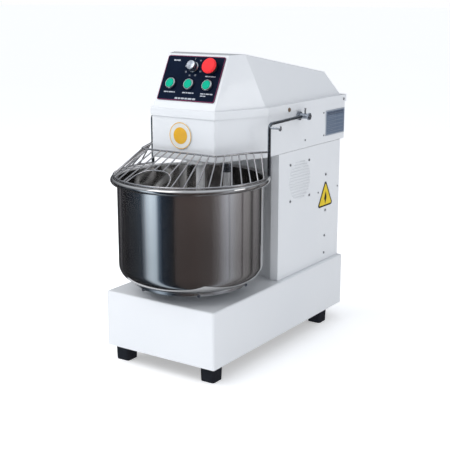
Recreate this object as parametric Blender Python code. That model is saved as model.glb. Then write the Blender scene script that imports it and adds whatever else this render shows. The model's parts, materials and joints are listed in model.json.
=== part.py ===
"""A 20-litre spiral dough mixer: plinth, column and head, a turning bowl and spiral hook, a tilting wire guard.

Metres, +Z up, the front faces -Y. Every piece is modelled from the middle of the plinth's front edge at
floor level, and the empty "mixer" moves the whole machine so that its box stands centred on the origin.
"""

from math import asin, atan2, cos, pi, radians, sin, tan

import bmesh
import bpy
from mathutils import Vector

# Driving dimensions
GAP = 0.0003  # between pieces that touch
SHEET = 0.002  # steel sheet of the housings
BASE_PLATE = 0.003
WELD = 1e-6

FOOT_HEIGHT, FOOT_SIDE = 0.041, 0.042
FOOT_X, FOOT_FRONT_Y, FOOT_REAR_Y = 0.1325, 0.0365, 0.567
PLINTH_WIDTH, PLINTH_DEPTH, PLINTH_TOP = 0.330, 0.650, 0.185
COLUMN_WIDTH, COLUMN_FRONT, COLUMN_BACK = 0.306, 0.310, 0.642
COLUMN_RECESS_RADIUS = 0.215  # the front curves round behind the bowl
HEAD_FRONT, HEAD_KINK, HEAD_BACK = 0.1086, 0.2505, 0.663
HEAD_FRONT_WIDTH, HEAD_WIDTH = 0.1894, 0.3092
HEAD_BOTTOM, HEAD_TOP = 0.519, 0.6235
RIM_OVERHANG, RIM_TOP = 0.003, 0.6434
HOOD_TOP, HOOD_REAR_TOP = 0.7715, 0.7085

SLOPE_FOOT = Vector((0, 0.1090, RIM_TOP))  # where the control panel's slope leaves the rim
SLOPE_HEAD = Vector((0, 0.1750, HOOD_TOP))
PANEL_WIDTH, PANEL_LOW, PANEL_HIGH, PANEL_THICK = 0.1716, 0.0205, 0.1385, 0.0018
BUTTON_SPACING, BUTTON_UP, DIAL_UP = 0.0547, 0.0632, 0.1085

BOWL_Y, BOWL_RADIUS, BOWL_BOTTOM, BOWL_CORNER, BOWL_WALL = 0.1394, 0.1826, 0.2187, 0.037, 0.0017
BEAD_RADIUS, BEAD_Z, BEAD_HALF_WIDTH, BEAD_HALF_HEIGHT = 0.1920, 0.4699, 0.0069, 0.0074
TURNTABLE_RADIUS, TURNTABLE_LOW, TURNTABLE_HIGH = 0.147, 0.207, 0.216

HOOK_X, HOOK_Y, HOOK_ROD, HOOK_SWEEP = 0.068, 0.200, 0.0095, 0.047
BAR_X, BAR_Y, BAR_RADIUS = 0.031, 0.138, 0.0108
DRIVE_Y, DRIVE_SHAFT_RADIUS, BELT_Z, CHAIN_Z = 0.430, 0.0125, 0.567, 0.074
DRIVE_PULLEY_RADIUS, HOOK_PULLEY_RADIUS = 0.048, 0.036
CHAIN_PITCH, DRIVE_TEETH, BOWL_TEETH = 0.015875, 8, 48

GUARD_Y, GUARD_RADIUS, GUARD_Z = 0.1447, 0.1942, 0.4803
GUARD_WIRE, GUARD_ROD, GUARD_ARM = 0.0025, 0.0018, 0.004
GUARD_END_ANGLE = radians(22.08)  # how far the lower ring runs on behind its centre line
GUARD_UPPER_Z, GUARD_UPPER_FRONT = 0.541, 0.088
GUARD_RODS, GUARD_ROD_ANGLE, GUARD_ROD_PITCH = 24, radians(8.6), 0.0206
HOOP_REACH, HOOP_HEIGHT = 2.1, 0.44  # in rod spacings each side, and as a share of the mesh's slope
PIVOT_Y, PIVOT_Z, PIVOT_RADIUS = 0.402, 0.609, 0.0045

VENT_Y, VENT_Z, VENT_RADIUS, VENT_SLOTS, VENT_PITCH = 0.418, 0.437, 0.0535, 13, 0.0079

MIDDLE_SHIFT = Vector((-0.0065, -0.30325, 0))  # from the plinth's front edge to the centre of the whole box


def clear_scene():
    for thing in list(bpy.data.objects):
        bpy.data.objects.remove(thing)


# Materials

def material(name, colour, roughness, metallic=0.0):
    made = bpy.data.materials.new(name)
    made.use_nodes = True
    shader = made.node_tree.nodes["Principled BSDF"]
    shader.inputs["Base Color"].default_value = (*colour, 1)
    shader.inputs["Roughness"].default_value = roughness
    shader.inputs["Metallic"].default_value = metallic
    return made


def all_materials():
    return {
        "paint": material("white_paint", (0.80, 0.82, 0.85), 0.25),
        "bowl": material("polished_steel", (0.62, 0.60, 0.58), 0.12, 1),
        "steel": material("bright_steel", (0.60, 0.61, 0.63), 0.25, 1),
        "dark_steel": material("dark_steel", (0.10, 0.11, 0.12), 0.35, 1),
        "rubber": material("black_rubber", (0.02, 0.02, 0.025), 0.8),
        "panel": material("panel_film", (0.006, 0.009, 0.03), 0.3),
        "green": material("green_button", (0.01, 0.42, 0.22), 0.3),
        "red": material("red_button", (0.75, 0.03, 0.03), 0.3),
        "black": material("black_plastic", (0.02, 0.02, 0.02), 0.45),
        "amber": material("amber_badge", (0.80, 0.42, 0.02), 0.3),
        "plate": material("rating_plate", (0.15, 0.20, 0.28), 0.4, 0.5),
        "yellow": material("yellow_plate", (0.90, 0.62, 0.02), 0.4),
        "cast": material("cast_iron", (0.22, 0.25, 0.27), 0.6, 1),
        "motor": material("motor_paint", (0.12, 0.20, 0.32), 0.45),
    }


# Shapes

def holder(name, at, parent=None, turn=(0, 0, 0)):
    """An empty that stands on a joint's axis or carries a group."""
    empty = bpy.data.objects.new(name, None)
    bpy.context.scene.collection.objects.link(empty)
    empty.location, empty.rotation_euler, empty.parent = at, turn, parent
    return empty


def place(name, shape, finish, parent, at=(0, 0, 0), turn=(0, 0, 0)):
    """The bmesh as a named object, in the frame of its parent."""
    bmesh.ops.recalc_face_normals(shape, faces=shape.faces)
    mesh = bpy.data.meshes.new(name)
    shape.to_mesh(mesh)
    shape.free()
    return place_mesh(name, mesh, finish, parent, at, turn)


def place_mesh(name, mesh, finish, parent, at=(0, 0, 0), turn=(0, 0, 0)):
    if not mesh.materials:
        mesh.materials.append(finish)
        mesh.shade_smooth()
        mesh.set_sharp_from_angle(angle=radians(35))
    made = bpy.data.objects.new(name, mesh)
    bpy.context.scene.collection.objects.link(made)
    made.location, made.rotation_euler, made.parent = at, turn, parent
    return made


def prism(outline, low, high):
    """The outline, extruded upwards."""
    shape = bmesh.new()
    face = shape.faces.new([shape.verts.new((x, y, low)) for x, y in outline])
    top = bmesh.ops.extrude_face_region(shape, geom=[face])["geom"]
    risen = [part for part in top if isinstance(part, bmesh.types.BMVert)]
    bmesh.ops.translate(shape, verts=risen, vec=(0, 0, high - low))
    return shape


def block(low, high):
    return prism([(low[0], low[1]), (high[0], low[1]), (high[0], high[1]), (low[0], high[1])], low[2], high[2])


def open_side(shape, direction):
    """Takes the faces that look this way off a shape, to leave a tray or a hood."""
    bmesh.ops.recalc_face_normals(shape, faces=shape.faces)
    looks = [face for face in shape.faces if face.normal.dot(Vector(direction)) > 0.99]
    bmesh.ops.delete(shape, geom=looks, context="FACES_ONLY")
    return shape


def join(*shapes):
    whole = bmesh.new()
    for shape in shapes:
        mesh = bpy.data.meshes.new("joined")
        shape.to_mesh(mesh)
        shape.free()
        whole.from_mesh(mesh)
        bpy.data.meshes.remove(mesh)
    return whole


def turned(profile, segments=16):
    """A closed profile of (radius, height) points, turned about Z. It may touch the axis."""
    shape = bmesh.new()
    points = [shape.verts.new((radius, 0, height)) for radius, height in profile]
    edges = [shape.edges.new(pair) for pair in zip(points, points[1:] + points[:1])]
    edges = [edge for edge in edges if any(vert.co.x > WELD for vert in edge.verts)]
    bmesh.ops.spin(
        shape, geom=points + edges, axis=(0, 0, 1), cent=(0, 0, 0), angle=2 * pi, steps=segments,
        use_merge=True,
    )
    bmesh.ops.remove_doubles(shape, verts=shape.verts, dist=WELD)
    loose = [edge for edge in shape.edges if not edge.link_faces]
    bmesh.ops.delete(shape, geom=loose, context="EDGES")
    return shape


def disc(radius, low, high, bore=0.0, segments=16):
    return turned([(bore, low), (radius, low), (radius, high), (bore, high)], segments)


def rounded_disc(radius, low, high, edge, segments=16):
    """A disc whose upper rim is rounded off."""
    rim = arc(radius - edge, high - edge, edge, 0, pi / 2, 2)
    return turned([(0, low), (radius, low), *rim, (0, high)], segments)


def arc(centre_x, centre_y, radius, start, end, steps, height=None):
    """Points on an arc, or on an ellipse's where a height is given."""
    tall = height or radius
    turns = [start + (end - start) * step / steps for step in range(steps + 1)]
    return [(centre_x + radius * cos(t), centre_y + tall * sin(t)) for t in turns]


def rounded_rectangle(low_x, low_y, high_x, high_y, radius, steps=4):
    corners = (
        (high_x - radius, high_y - radius, 0),
        (low_x + radius, high_y - radius, pi / 2),
        (low_x + radius, low_y + radius, pi),
        (high_x - radius, low_y + radius, 1.5 * pi),
    )
    return [point for x, y, start in corners for point in arc(x, y, radius, start, start + pi / 2, steps)]


def wire(points, radius, roundness=2):
    """A round bar along the points, with closed ends."""
    path = bpy.data.curves.new("bar", "CURVE")
    path.dimensions = "3D"
    path.bevel_depth, path.bevel_resolution, path.use_fill_caps = radius, roundness, True
    run = path.splines.new("POLY")
    run.points.add(len(points) - 1)
    for slot, point in zip(run.points, points):
        slot.co = (*point, 1)
    guide = bpy.data.objects.new("bar", path)
    mesh = bpy.data.meshes.new_from_object(guide)
    bpy.data.objects.remove(guide)
    bpy.data.curves.remove(path)
    shape = bmesh.new()
    shape.from_mesh(mesh)
    bpy.data.meshes.remove(mesh)
    bmesh.ops.remove_doubles(shape, verts=shape.verts, dist=WELD)
    return shape


def bend(before, corner, after, radius, steps=6):
    """Points that take a path round a corner on an arc."""
    corner = Vector(corner)
    back, on = (Vector(before) - corner).normalized(), (Vector(after) - corner).normalized()
    half = back.angle(on) / 2
    middle = corner + (back + on).normalized() * radius / sin(half)
    first, last = ((corner + way * radius / tan(half) - middle).normalized() for way in (back, on))
    return [middle + radius * first.slerp(last, step / steps) for step in range(steps + 1)]


def bevelled(piece, width, segments=2):
    edge = piece.modifiers.new("rounded_edges", "BEVEL")
    edge.width, edge.segments, edge.limit_method, edge.angle_limit = width, segments, "ANGLE", radians(25)
    return piece


def thickened(piece, thickness=SHEET):
    """Gives a sheet its thickness, inwards."""
    wall = piece.modifiers.new("sheet", "SOLIDIFY")
    wall.thickness, wall.offset, wall.use_even_offset = thickness, -1, True
    return piece


def hidden(name, shape, parent, at=(0, 0, 0), turn=(0, 0, 0)):
    cutter = place(name, shape, None, parent, at, turn)
    cutter.hide_render, cutter.display_type = True, "WIRE"
    return cutter


def cut(piece, *cutters):
    for cutter in cutters:
        hole = piece.modifiers.new(cutter.name, "BOOLEAN")
        hole.operation, hole.object = "DIFFERENCE", cutter
    return piece


def hole_along_z(name, parent, x, y, radius, low, high):
    return hidden(name, disc(radius, low, high), parent, (x, y, 0))


def slots(count, pitch, length_of, height, depth):
    """A stack of flat slots, each as long as length_of says, cut through the YZ plane."""
    bars = []
    for index in range(count):
        level = (index - (count - 1) / 2) * pitch
        half = length_of(level) / 2
        bars.append(block((-depth, -half, level - height / 2), (depth, half, level + height / 2)))
    return join(*bars)


# Housings

def make_plinth(mixer, finish):
    half = PLINTH_WIDTH / 2
    shell = open_side(block((-half, 0, FOOT_HEIGHT), (half, PLINTH_DEPTH, PLINTH_TOP)), (0, 0, -1))
    plinth = thickened(bevelled(place("plinth_shell", shell, finish["paint"], mixer), 0.004))
    top = (PLINTH_TOP - 0.01, PLINTH_TOP + 0.01)
    cut(
        plinth,
        hole_along_z("bowl_bearing_hole", mixer, 0, BOWL_Y, 0.0405, *top),
        hole_along_z("drive_shaft_hole", mixer, 0, DRIVE_Y, 0.035, *top),
    )
    inset = SHEET + 2 * GAP
    plate = prism(
        rounded_rectangle(inset - half, inset, half - inset, PLINTH_DEPTH - inset, 0.004),
        FOOT_HEIGHT + GAP, FOOT_HEIGHT + GAP + BASE_PLATE,
    )
    place("base_plate", plate, finish["dark_steel"], mixer)


def make_feet(mixer, finish):
    half = FOOT_SIDE / 2
    shape = prism(rounded_rectangle(-half, -half, half, half, 0.007, 3), 0, FOOT_HEIGHT)
    for vert in shape.verts:
        if vert.co.z < WELD:
            vert.co.x, vert.co.y = vert.co.x * 0.93, vert.co.y * 0.93
    mesh = place("foot_front_left", shape, finish["rubber"], mixer, (-FOOT_X, FOOT_FRONT_Y, 0)).data
    for name, x, y in (
        ("foot_front_right", FOOT_X, FOOT_FRONT_Y),
        ("foot_rear_left", -FOOT_X, FOOT_REAR_Y),
        ("foot_rear_right", FOOT_X, FOOT_REAR_Y),
    ):
        place_mesh(name, mesh, finish["rubber"], mixer, (x, y, 0))


def vent_chord(level):
    """How long the vent's slot is this far above or below its middle."""
    return 2 * (VENT_RADIUS**2 - level**2) ** 0.5


def make_column(mixer, finish):
    """A sheet bent round three sides, with a hollow in its front for the bowl, closed by a flat rear cover."""
    half, lip = COLUMN_WIDTH / 2, 0.015
    edge = asin((COLUMN_FRONT - BOWL_Y) / COLUMN_RECESS_RADIUS)
    recess = arc(0, BOWL_Y, COLUMN_RECESS_RADIUS, edge, pi - edge, 20)
    path = [(half - lip, COLUMN_BACK), (half, COLUMN_BACK), (half, COLUMN_FRONT), *recess]
    path += [(-half, COLUMN_FRONT), (-half, COLUMN_BACK), (lip - half, COLUMN_BACK)]
    low, high = PLINTH_TOP + GAP, HEAD_BOTTOM - GAP
    shape = bmesh.new()
    lower = [shape.verts.new((x, y, low)) for x, y in path]
    upper = [shape.verts.new((x, y, high)) for x, y in path]
    for index in range(len(path) - 1):
        shape.faces.new((lower[index], lower[index + 1], upper[index + 1], upper[index]))
    column = place("column_shell", shape, finish["paint"], mixer)
    centre = Vector((0, (COLUMN_FRONT + COLUMN_BACK) / 2 + 0.05, 0))
    side = max(column.data.polygons, key=lambda face: face.center.x)
    if side.normal.dot(side.center - centre) < 0:
        column.data.flip_normals()
    thickened(column)
    vent = slots(VENT_SLOTS, VENT_PITCH, vent_chord, 0.0018, 0.01)
    cut(column, hidden("vent_slots", vent, mixer, (half, VENT_Y, VENT_Z)))

    flat = half - 0.003
    cover = block((-flat, COLUMN_BACK + GAP, low + 0.003), (flat, COLUMN_BACK + GAP + 0.0015, high - 0.003))
    rear = place("rear_cover", cover, finish["paint"], mixer)
    louvres = slots(9, 0.012, lambda level: 0.16, 0.003, 0.01)
    outlet = disc(0.0083, -0.01, 0.01)
    cut(
        rear,
        hidden("rear_louvres", louvres, mixer, (0, COLUMN_BACK, 0.43), (0, 0, pi / 2)),
        hidden("gland_hole", outlet, mixer, (-0.09, COLUMN_BACK, 0.225), (pi / 2, 0, 0)),
    )
    gland = turned([
        (0.003, -0.012), (0.008, -0.012), (0.008, 0.0024), (0.012, 0.0024),
        (0.012, 0.009), (0.009, 0.015), (0.003, 0.015),
    ])
    place("cable_gland", gland, finish["black"], mixer, (-0.09, COLUMN_BACK, 0.225), (-pi / 2, 0, 0))


def head_outline(grow=0.0):
    """The head in plan: a blunt nose that widens to the full width."""
    front, full = HEAD_FRONT_WIDTH / 2 + 0.8 * grow, HEAD_WIDTH / 2 + grow
    return [
        (-front, HEAD_FRONT - grow),
        (front, HEAD_FRONT - grow),
        (full, HEAD_KINK - 0.4 * grow),
        (full, HEAD_BACK + grow),
        (-full, HEAD_BACK + grow),
        (-full, HEAD_KINK - 0.4 * grow),
    ]


def make_head(mixer, finish):
    shape = open_side(prism(head_outline(), HEAD_BOTTOM, HEAD_TOP), (0, 0, 1))
    head = thickened(bevelled(place("head_box", shape, finish["paint"], mixer), 0.003))
    pivot = disc(PIVOT_RADIUS + 0.0005, -HEAD_WIDTH, HEAD_WIDTH, segments=20)
    floor = (HEAD_BOTTOM - 0.01, HEAD_BOTTOM + 0.01)
    cut(
        head,
        hole_along_z("spindle_hole", mixer, HOOK_X, HOOK_Y, 0.0255, *floor),
        hole_along_z("drive_shaft_head_hole", mixer, 0, DRIVE_Y, 0.020, *floor),
        hidden("pivot_hole", pivot, mixer, (0, PIVOT_Y, PIVOT_Z), (0, pi / 2, 0)),
    )


def make_hood(mixer, finish):
    """A cover with a straight rim. Above it rise the panel slope, two facets, two sides and a sloping roof."""
    shape = bmesh.new()
    rings = [head_outline(RIM_OVERHANG), head_outline(RIM_OVERHANG)]
    foot_front, foot_side, foot_back = 0.0935, 0.1485, 0.645
    rings.append([
        (-foot_front, SLOPE_FOOT.y), (foot_front, SLOPE_FOOT.y), (foot_side, HEAD_KINK),
        (foot_side, foot_back), (-foot_side, foot_back), (-foot_side, HEAD_KINK),
    ])
    levels = (HEAD_TOP + GAP, RIM_TOP, RIM_TOP)
    loops = [[shape.verts.new((x, y, z)) for x, y in ring] for ring, z in zip(rings, levels)]
    roof = [
        (-0.0903, SLOPE_HEAD.y, HOOD_TOP), (0.0903, SLOPE_HEAD.y, HOOD_TOP),
        (0.1082, 0.2198, HOOD_TOP + 0.0015), (0.1283, 0.586, HOOD_REAR_TOP),
        (-0.1283, 0.586, HOOD_REAR_TOP), (-0.1082, 0.2198, HOOD_TOP + 0.0015),
    ]
    loops.append([shape.verts.new(point) for point in roof])
    for lower, upper in zip(loops, loops[1:]):
        for index in range(6):
            after = (index + 1) % 6
            shape.faces.new((lower[index], lower[after], upper[after], upper[index]))
    front_left, front_right, side_right, back_right, back_left, side_left = loops[-1]
    shape.faces.new((front_left, front_right, side_right, side_left))
    shape.faces.new((side_left, side_right, back_right, back_left))
    return thickened(bevelled(place("hood_cover", shape, finish["paint"], mixer), 0.0025))


# Controls

def make_panel(mixer, hood, finish):
    """The control panel, built flat: X across, Y up the slope, Z out of it."""
    slope = SLOPE_HEAD - SLOPE_FOOT
    frame = holder("panel_frame", SLOPE_FOOT, mixer, (atan2(slope.z, slope.y), 0, 0))
    outline = rounded_rectangle(-PANEL_WIDTH / 2, PANEL_LOW, PANEL_WIDTH / 2, PANEL_HIGH, 0.005)
    panel = place("control_panel", prism(outline, GAP, GAP + PANEL_THICK), finish["panel"], frame)
    face = GAP + PANEL_THICK + GAP
    places = [(index * BUTTON_SPACING, BUTTON_UP, 0.0112) for index in (-1, 0, 1)]
    places += [(0, DIAL_UP, 0.0055), (BUTTON_SPACING, DIAL_UP, 0.0112)]
    bores = join(*[moved(disc(radius, -0.012, 0.012), (x, up, 0)) for x, up, radius in places])
    bores = hidden("panel_bores", bores, frame)
    cut(panel, bores)
    cut(hood, bores)
    make_buttons(frame, face, finish)
    make_stop(frame, face, finish)
    make_timer(frame, face, finish)


def moved(shape, by):
    bmesh.ops.translate(shape, verts=shape.verts, vec=by)
    return shape


def make_buttons(frame, face, finish):
    body = turned([
        (0.0063, -0.030), (0.0109, -0.030), (0.0109, face), (0.0143, face), (0.0143, face + 0.0045),
        (0.0128, face + 0.0065), (0.0116, face + 0.0065), (0.0116, face + 0.0008), (0.0063, face + 0.0008),
    ])
    cap = turned([
        (0, -0.008), (0.006, -0.008), (0.006, face + 0.0031), (0.0113, face + 0.0031),
        (0.0113, face + 0.0064), (0.0100, face + 0.0075), (0, face + 0.0078),
    ])
    body_mesh = cap_mesh = None
    for index, side in enumerate(("left", "centre", "right")):
        at = ((index - 1) * BUTTON_SPACING, BUTTON_UP, 0)
        press = holder(f"button_{side}_press", at, frame)
        if body_mesh is None:
            body_mesh = place(f"button_body_{side}", body, finish["steel"], frame, at).data
            cap_mesh = place(f"button_cap_{side}", cap, finish["green"], press).data
        else:
            place_mesh(f"button_body_{side}", body_mesh, finish["steel"], frame, at)
            place_mesh(f"button_cap_{side}", cap_mesh, finish["green"], press)


def make_stop(frame, face, finish):
    at = (BUTTON_SPACING, DIAL_UP, 0)
    base = turned([
        (0.0063, -0.034), (0.0109, -0.034), (0.0109, face), (0.0148, face),
        (0.0148, face + 0.0035), (0.0135, face + 0.005), (0.0063, face + 0.005),
    ])
    place("stop_base", base, finish["black"], frame, at)
    head = turned([
        (0, -0.006), (0.006, -0.006), (0.006, face + 0.0095), (0.0185, face + 0.0095), (0.0200, face + 0.0120),
        (0.0200, face + 0.0160), *arc(0.0165, face + 0.0160, 0.0035, 0.2, pi / 2, 3), (0, face + 0.0205),
    ])
    place("stop_button", head, finish["red"], holder("stop_press", at, frame))


def make_timer(frame, face, finish):
    at = (0, DIAL_UP, 0)
    case = block((-0.021, -0.021, -0.040), (0.021, 0.021, -0.008))
    body = place("timer_body", case, finish["black"], frame, at)
    cut(body, hidden("timer_bore", disc(0.0034, -0.020, 0.0), frame, at))
    knob = turned([
        (0, -0.016), (0.003, -0.016), (0.003, face + 0.0006), (0.0135, face + 0.0006), (0.0140, face + 0.0022),
        (0.0118, face + 0.0040), (0.0112, face + 0.0155), (0.0100, face + 0.0170), (0, face + 0.0170),
    ])
    place("timer_knob", knob, finish["steel"], holder("timer_turn", at, frame))


def make_plates(mixer, finish):
    badge = rounded_disc(0.0333, GAP, 0.0028, 0.0012)
    place("front_badge", badge, finish["amber"], mixer, (-0.006, HEAD_FRONT, 0.579), (pi / 2, 0, 0))
    side = HEAD_WIDTH / 2 + GAP
    plate = block((side, 0.5515, 0.5378), (side + 0.0008, 0.6595, 0.6065))
    place("rating_plate", plate, finish["plate"], mixer)
    outline = []
    for corner in (pi / 2, 7 * pi / 6, 11 * pi / 6):
        outline += arc(0.038 * cos(corner), 0.038 * sin(corner), 0.006, corner - pi / 3, corner + pi / 3, 4)
    warning = prism(outline, GAP, 0.0009)
    warning_at = (COLUMN_WIDTH / 2, 0.562, 0.3655)
    place("warning_plate", warning, finish["yellow"], mixer, warning_at, (pi / 2, 0, pi / 2))


# Drive

def sprocket(teeth, low, high, bore):
    pitch_radius = CHAIN_PITCH / 2 / sin(pi / teeth)
    outline = []
    for tooth in range(teeth):
        middle = 2 * pi * tooth / teeth
        for turn, reach in ((0, 0.0030), (0.5, -0.0035)):
            angle = middle + turn * 2 * pi / teeth
            outline.append(((pitch_radius + reach) * cos(angle), (pitch_radius + reach) * sin(angle)))
    return prism(outline, low, high), disc(bore, low - 0.001, high + 0.001)


def loop_band(first, first_radius, second, second_radius, thickness, low, high):
    """A band stretched round two wheels."""
    first, second = Vector(first), Vector(second)
    along = second - first
    lean = asin((first_radius - second_radius) / along.length)
    heading = atan2(along.y, along.x)
    rings = []
    for extra in (0, thickness):
        wide = arc(*first, first_radius + extra, heading + pi / 2 - lean, heading + 1.5 * pi + lean, 20)
        tight = arc(*second, second_radius + extra, heading - pi / 2 + lean, heading + pi / 2 - lean, 12)
        rings.append(wide + tight)
    shape = bmesh.new()
    corners = [[shape.verts.new((x, y, z)) for x, y in ring] for ring in rings for z in (low, high)]
    inner_low, inner_high, outer_low, outer_high = corners
    count = len(inner_low)
    around = (inner_low, inner_high, outer_high, outer_low, inner_low)
    for a, b in zip(around, around[1:]):
        for index in range(count):
            after = (index + 1) % count
            shape.faces.new((a[index], a[after], b[after], b[index]))
    return shape


def pulley(radius, bore, width=0.018):
    """A one-groove V-belt pulley with a hub below."""
    half = width / 2
    return turned([
        (bore, -half - 0.012), (bore + 0.008, -half - 0.012), (bore + 0.008, -half), (radius + 0.003, -half),
        (radius + 0.003, -half + 0.002), (radius - 0.005, -0.003), (radius - 0.005, 0.003),
        (radius + 0.003, half - 0.002), (radius + 0.003, half), (bore, half),
    ])


def make_drive(mixer, finish):
    """A geared motor in the column turns one upright shaft: belt to the hook above, chain to the bowl."""
    axis = holder("drive_axis", (0, DRIVE_Y, 0), mixer)
    shaft_low, shaft_high = 0.0475, 0.590
    place("drive_shaft", disc(DRIVE_SHAFT_RADIUS, shaft_low, shaft_high), finish["steel"], axis)
    bore = DRIVE_SHAFT_RADIUS + GAP
    place("drive_pulley", pulley(DRIVE_PULLEY_RADIUS, bore), finish["cast"], axis, (0, 0, BELT_Z))
    teeth, hub = sprocket(DRIVE_TEETH, CHAIN_Z - 0.0035, CHAIN_Z + 0.0035, bore)
    small = place("drive_sprocket", teeth, finish["dark_steel"], axis)
    cut(small, hidden("drive_sprocket_bore", hub, axis))

    running = DRIVE_SHAFT_RADIUS + 0.0004
    base = FOOT_HEIGHT + BASE_PLATE + 2 * GAP
    foot = turned([
        (running, base), (0.034, base), (0.034, base + 0.006), (0.022, base + 0.008), (0.022, 0.062),
        (running, 0.062),
    ])
    place("lower_bearing", foot, finish["cast"], mixer, (0, DRIVE_Y, 0))
    floor = HEAD_BOTTOM + SHEET + GAP
    top = turned([
        (running, floor), (0.040, floor), (0.040, floor + 0.006), (0.024, floor + 0.008), (0.024, 0.543),
        (running, 0.543),
    ])
    place("upper_bearing", top, finish["cast"], mixer, (0, DRIVE_Y, 0))

    shelf_top = 0.300
    inside = COLUMN_WIDTH / 2 - SHEET - GAP
    shelf = block((-inside, 0.362, shelf_top - 0.005), (inside, 0.636, shelf_top))
    shelf = place("motor_shelf", shelf, finish["dark_steel"], mixer)
    cut(shelf, hole_along_z("shelf_hole", mixer, 0, DRIVE_Y, 0.020, shelf_top - 0.02, shelf_top + 0.02))
    case = block((-0.052, DRIVE_Y - 0.050, shelf_top + GAP), (0.052, DRIVE_Y + 0.055, shelf_top + 0.105))
    case = bevelled(place("gearbox", case, finish["cast"], mixer), 0.008)
    cut(case, hole_along_z("gearbox_bore", mixer, 0, DRIVE_Y, running, 0.28, 0.42))
    fins = []
    for index in range(3):
        at = 0.032 + index * 0.028
        fins += [(0.052, at), (0.058, at + 0.002), (0.058, at + 0.014), (0.052, at + 0.016)]
    motor = turned([
        (0, 0), (0.060, 0), (0.060, 0.012), (0.052, 0.016), *fins, (0.052, 0.118), (0.056, 0.120),
        (0.056, 0.140), (0, 0.144),
    ])
    motor_at = (0, DRIVE_Y + 0.055 + GAP, shelf_top + 0.062)
    place("motor", motor, finish["motor"], mixer, motor_at, (-pi / 2, 0, 0))
    inner = inside - 0.001
    box = block((-inner, 0.45, 0.325), (-inner + 0.055, 0.56, 0.475))
    place("electrical_box", box, finish["black"], mixer)


def make_bowl_drive(mixer, axis, finish):
    bore = 0.0175
    flange = turned([
        (0, 0.052), (0.017, 0.052), (0.017, 0.197), (0.045, 0.197), (0.045, TURNTABLE_LOW - GAP),
        (0, TURNTABLE_LOW - GAP),
    ])
    place("bowl_shaft", flange, finish["steel"], axis)
    housing = turned([
        (bore, 0.110), (0.030, 0.110), (0.036, 0.118), (0.040, 0.130), (0.040, PLINTH_TOP + GAP),
        (0.060, PLINTH_TOP + GAP), (0.060, PLINTH_TOP + 0.007), (0.050, PLINTH_TOP + 0.011),
        (bore, PLINTH_TOP + 0.011),
    ])
    place("bowl_bearing", housing, finish["cast"], mixer, (0, BOWL_Y, 0))
    teeth, hole = sprocket(BOWL_TEETH, CHAIN_Z - 0.0035, CHAIN_Z + 0.0035, bore)
    wheel = place("bowl_sprocket", teeth, finish["dark_steel"], axis)
    lightening = []
    for index in range(6):
        turn = index * pi / 3
        at = (0.073 * cos(turn), 0.073 * sin(turn), CHAIN_Z)
        lightening.append(moved(disc(0.026, -0.01, 0.01, segments=10), at))
    holes = hidden("bowl_sprocket_holes", join(*lightening), axis)
    cut(wheel, hidden("bowl_sprocket_bore", hole, axis), holes)
    reach = 0.0036
    radii = [CHAIN_PITCH / 2 / sin(pi / teeth) + reach for teeth in (BOWL_TEETH, DRIVE_TEETH)]
    chain = loop_band((0, BOWL_Y), radii[0], (0, DRIVE_Y), radii[1], 0.007, CHAIN_Z - 0.005, CHAIN_Z + 0.005)
    place("bowl_chain", chain, finish["dark_steel"], mixer)


def make_hook_drive(mixer, axis, finish):
    floor = HEAD_BOTTOM + SHEET + GAP
    spindle = disc(0.013, 0.5065, 0.588)
    place("hook_shaft", spindle, finish["steel"], axis)
    place("hook_pulley", pulley(HOOK_PULLEY_RADIUS, 0.013 + GAP), finish["cast"], axis, (0, 0, BELT_Z))
    housing = turned([
        (0.0134, 0.512), (0.0225, 0.512), (0.025, 0.515), (0.025, floor), (0.042, floor),
        (0.042, floor + 0.006), (0.028, floor + 0.008), (0.028, 0.545), (0.0134, 0.545),
    ])
    place("hook_bearing", housing, finish["dark_steel"], mixer, (HOOK_X, HOOK_Y, 0))
    belt = loop_band(
        (0, DRIVE_Y), DRIVE_PULLEY_RADIUS + 0.0034, (HOOK_X, HOOK_Y), HOOK_PULLEY_RADIUS + 0.0034, 0.005,
        BELT_Z - 0.006, BELT_Z + 0.006,
    )
    place("drive_belt", belt, finish["rubber"], mixer)


# Bowl, hook and breaker bar

def make_bowl(axis, finish):
    """A spun bowl with a round bottom corner and a rolled rim, on a turntable."""
    inner_corner = BOWL_CORNER - BOWL_WALL
    foot = BOWL_RADIUS - BOWL_CORNER
    level = BOWL_BOTTOM + BOWL_CORNER
    outside = arc(foot, level, BOWL_CORNER, -pi / 2, 0, 5)
    bead = arc(BEAD_RADIUS, BEAD_Z, BEAD_HALF_WIDTH, radians(-140), radians(150), 8, BEAD_HALF_HEIGHT)
    inside = arc(foot, level, inner_corner, 0, -pi / 2, 5)
    neck = [(BOWL_RADIUS - BOWL_WALL, BEAD_Z + 0.0035)]
    profile = [(0, BOWL_BOTTOM), *outside, (BOWL_RADIUS, BEAD_Z - 0.007), *bead, *neck, *inside]
    profile.append((0, BOWL_BOTTOM + BOWL_WALL))
    place("bowl", turned(profile, 36), finish["bowl"], axis)
    table = turned([
        (0, TURNTABLE_LOW), (TURNTABLE_RADIUS - 0.001, TURNTABLE_LOW),
        (TURNTABLE_RADIUS, TURNTABLE_LOW + 0.001), (TURNTABLE_RADIUS, TURNTABLE_HIGH - 0.001),
        (TURNTABLE_RADIUS - 0.001, TURNTABLE_HIGH), (0.124, TURNTABLE_HIGH), (0.118, BOWL_BOTTOM - GAP),
        (0, BOWL_BOTTOM - GAP),
    ], 32)
    place("turntable", table, finish["steel"], axis)


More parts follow.
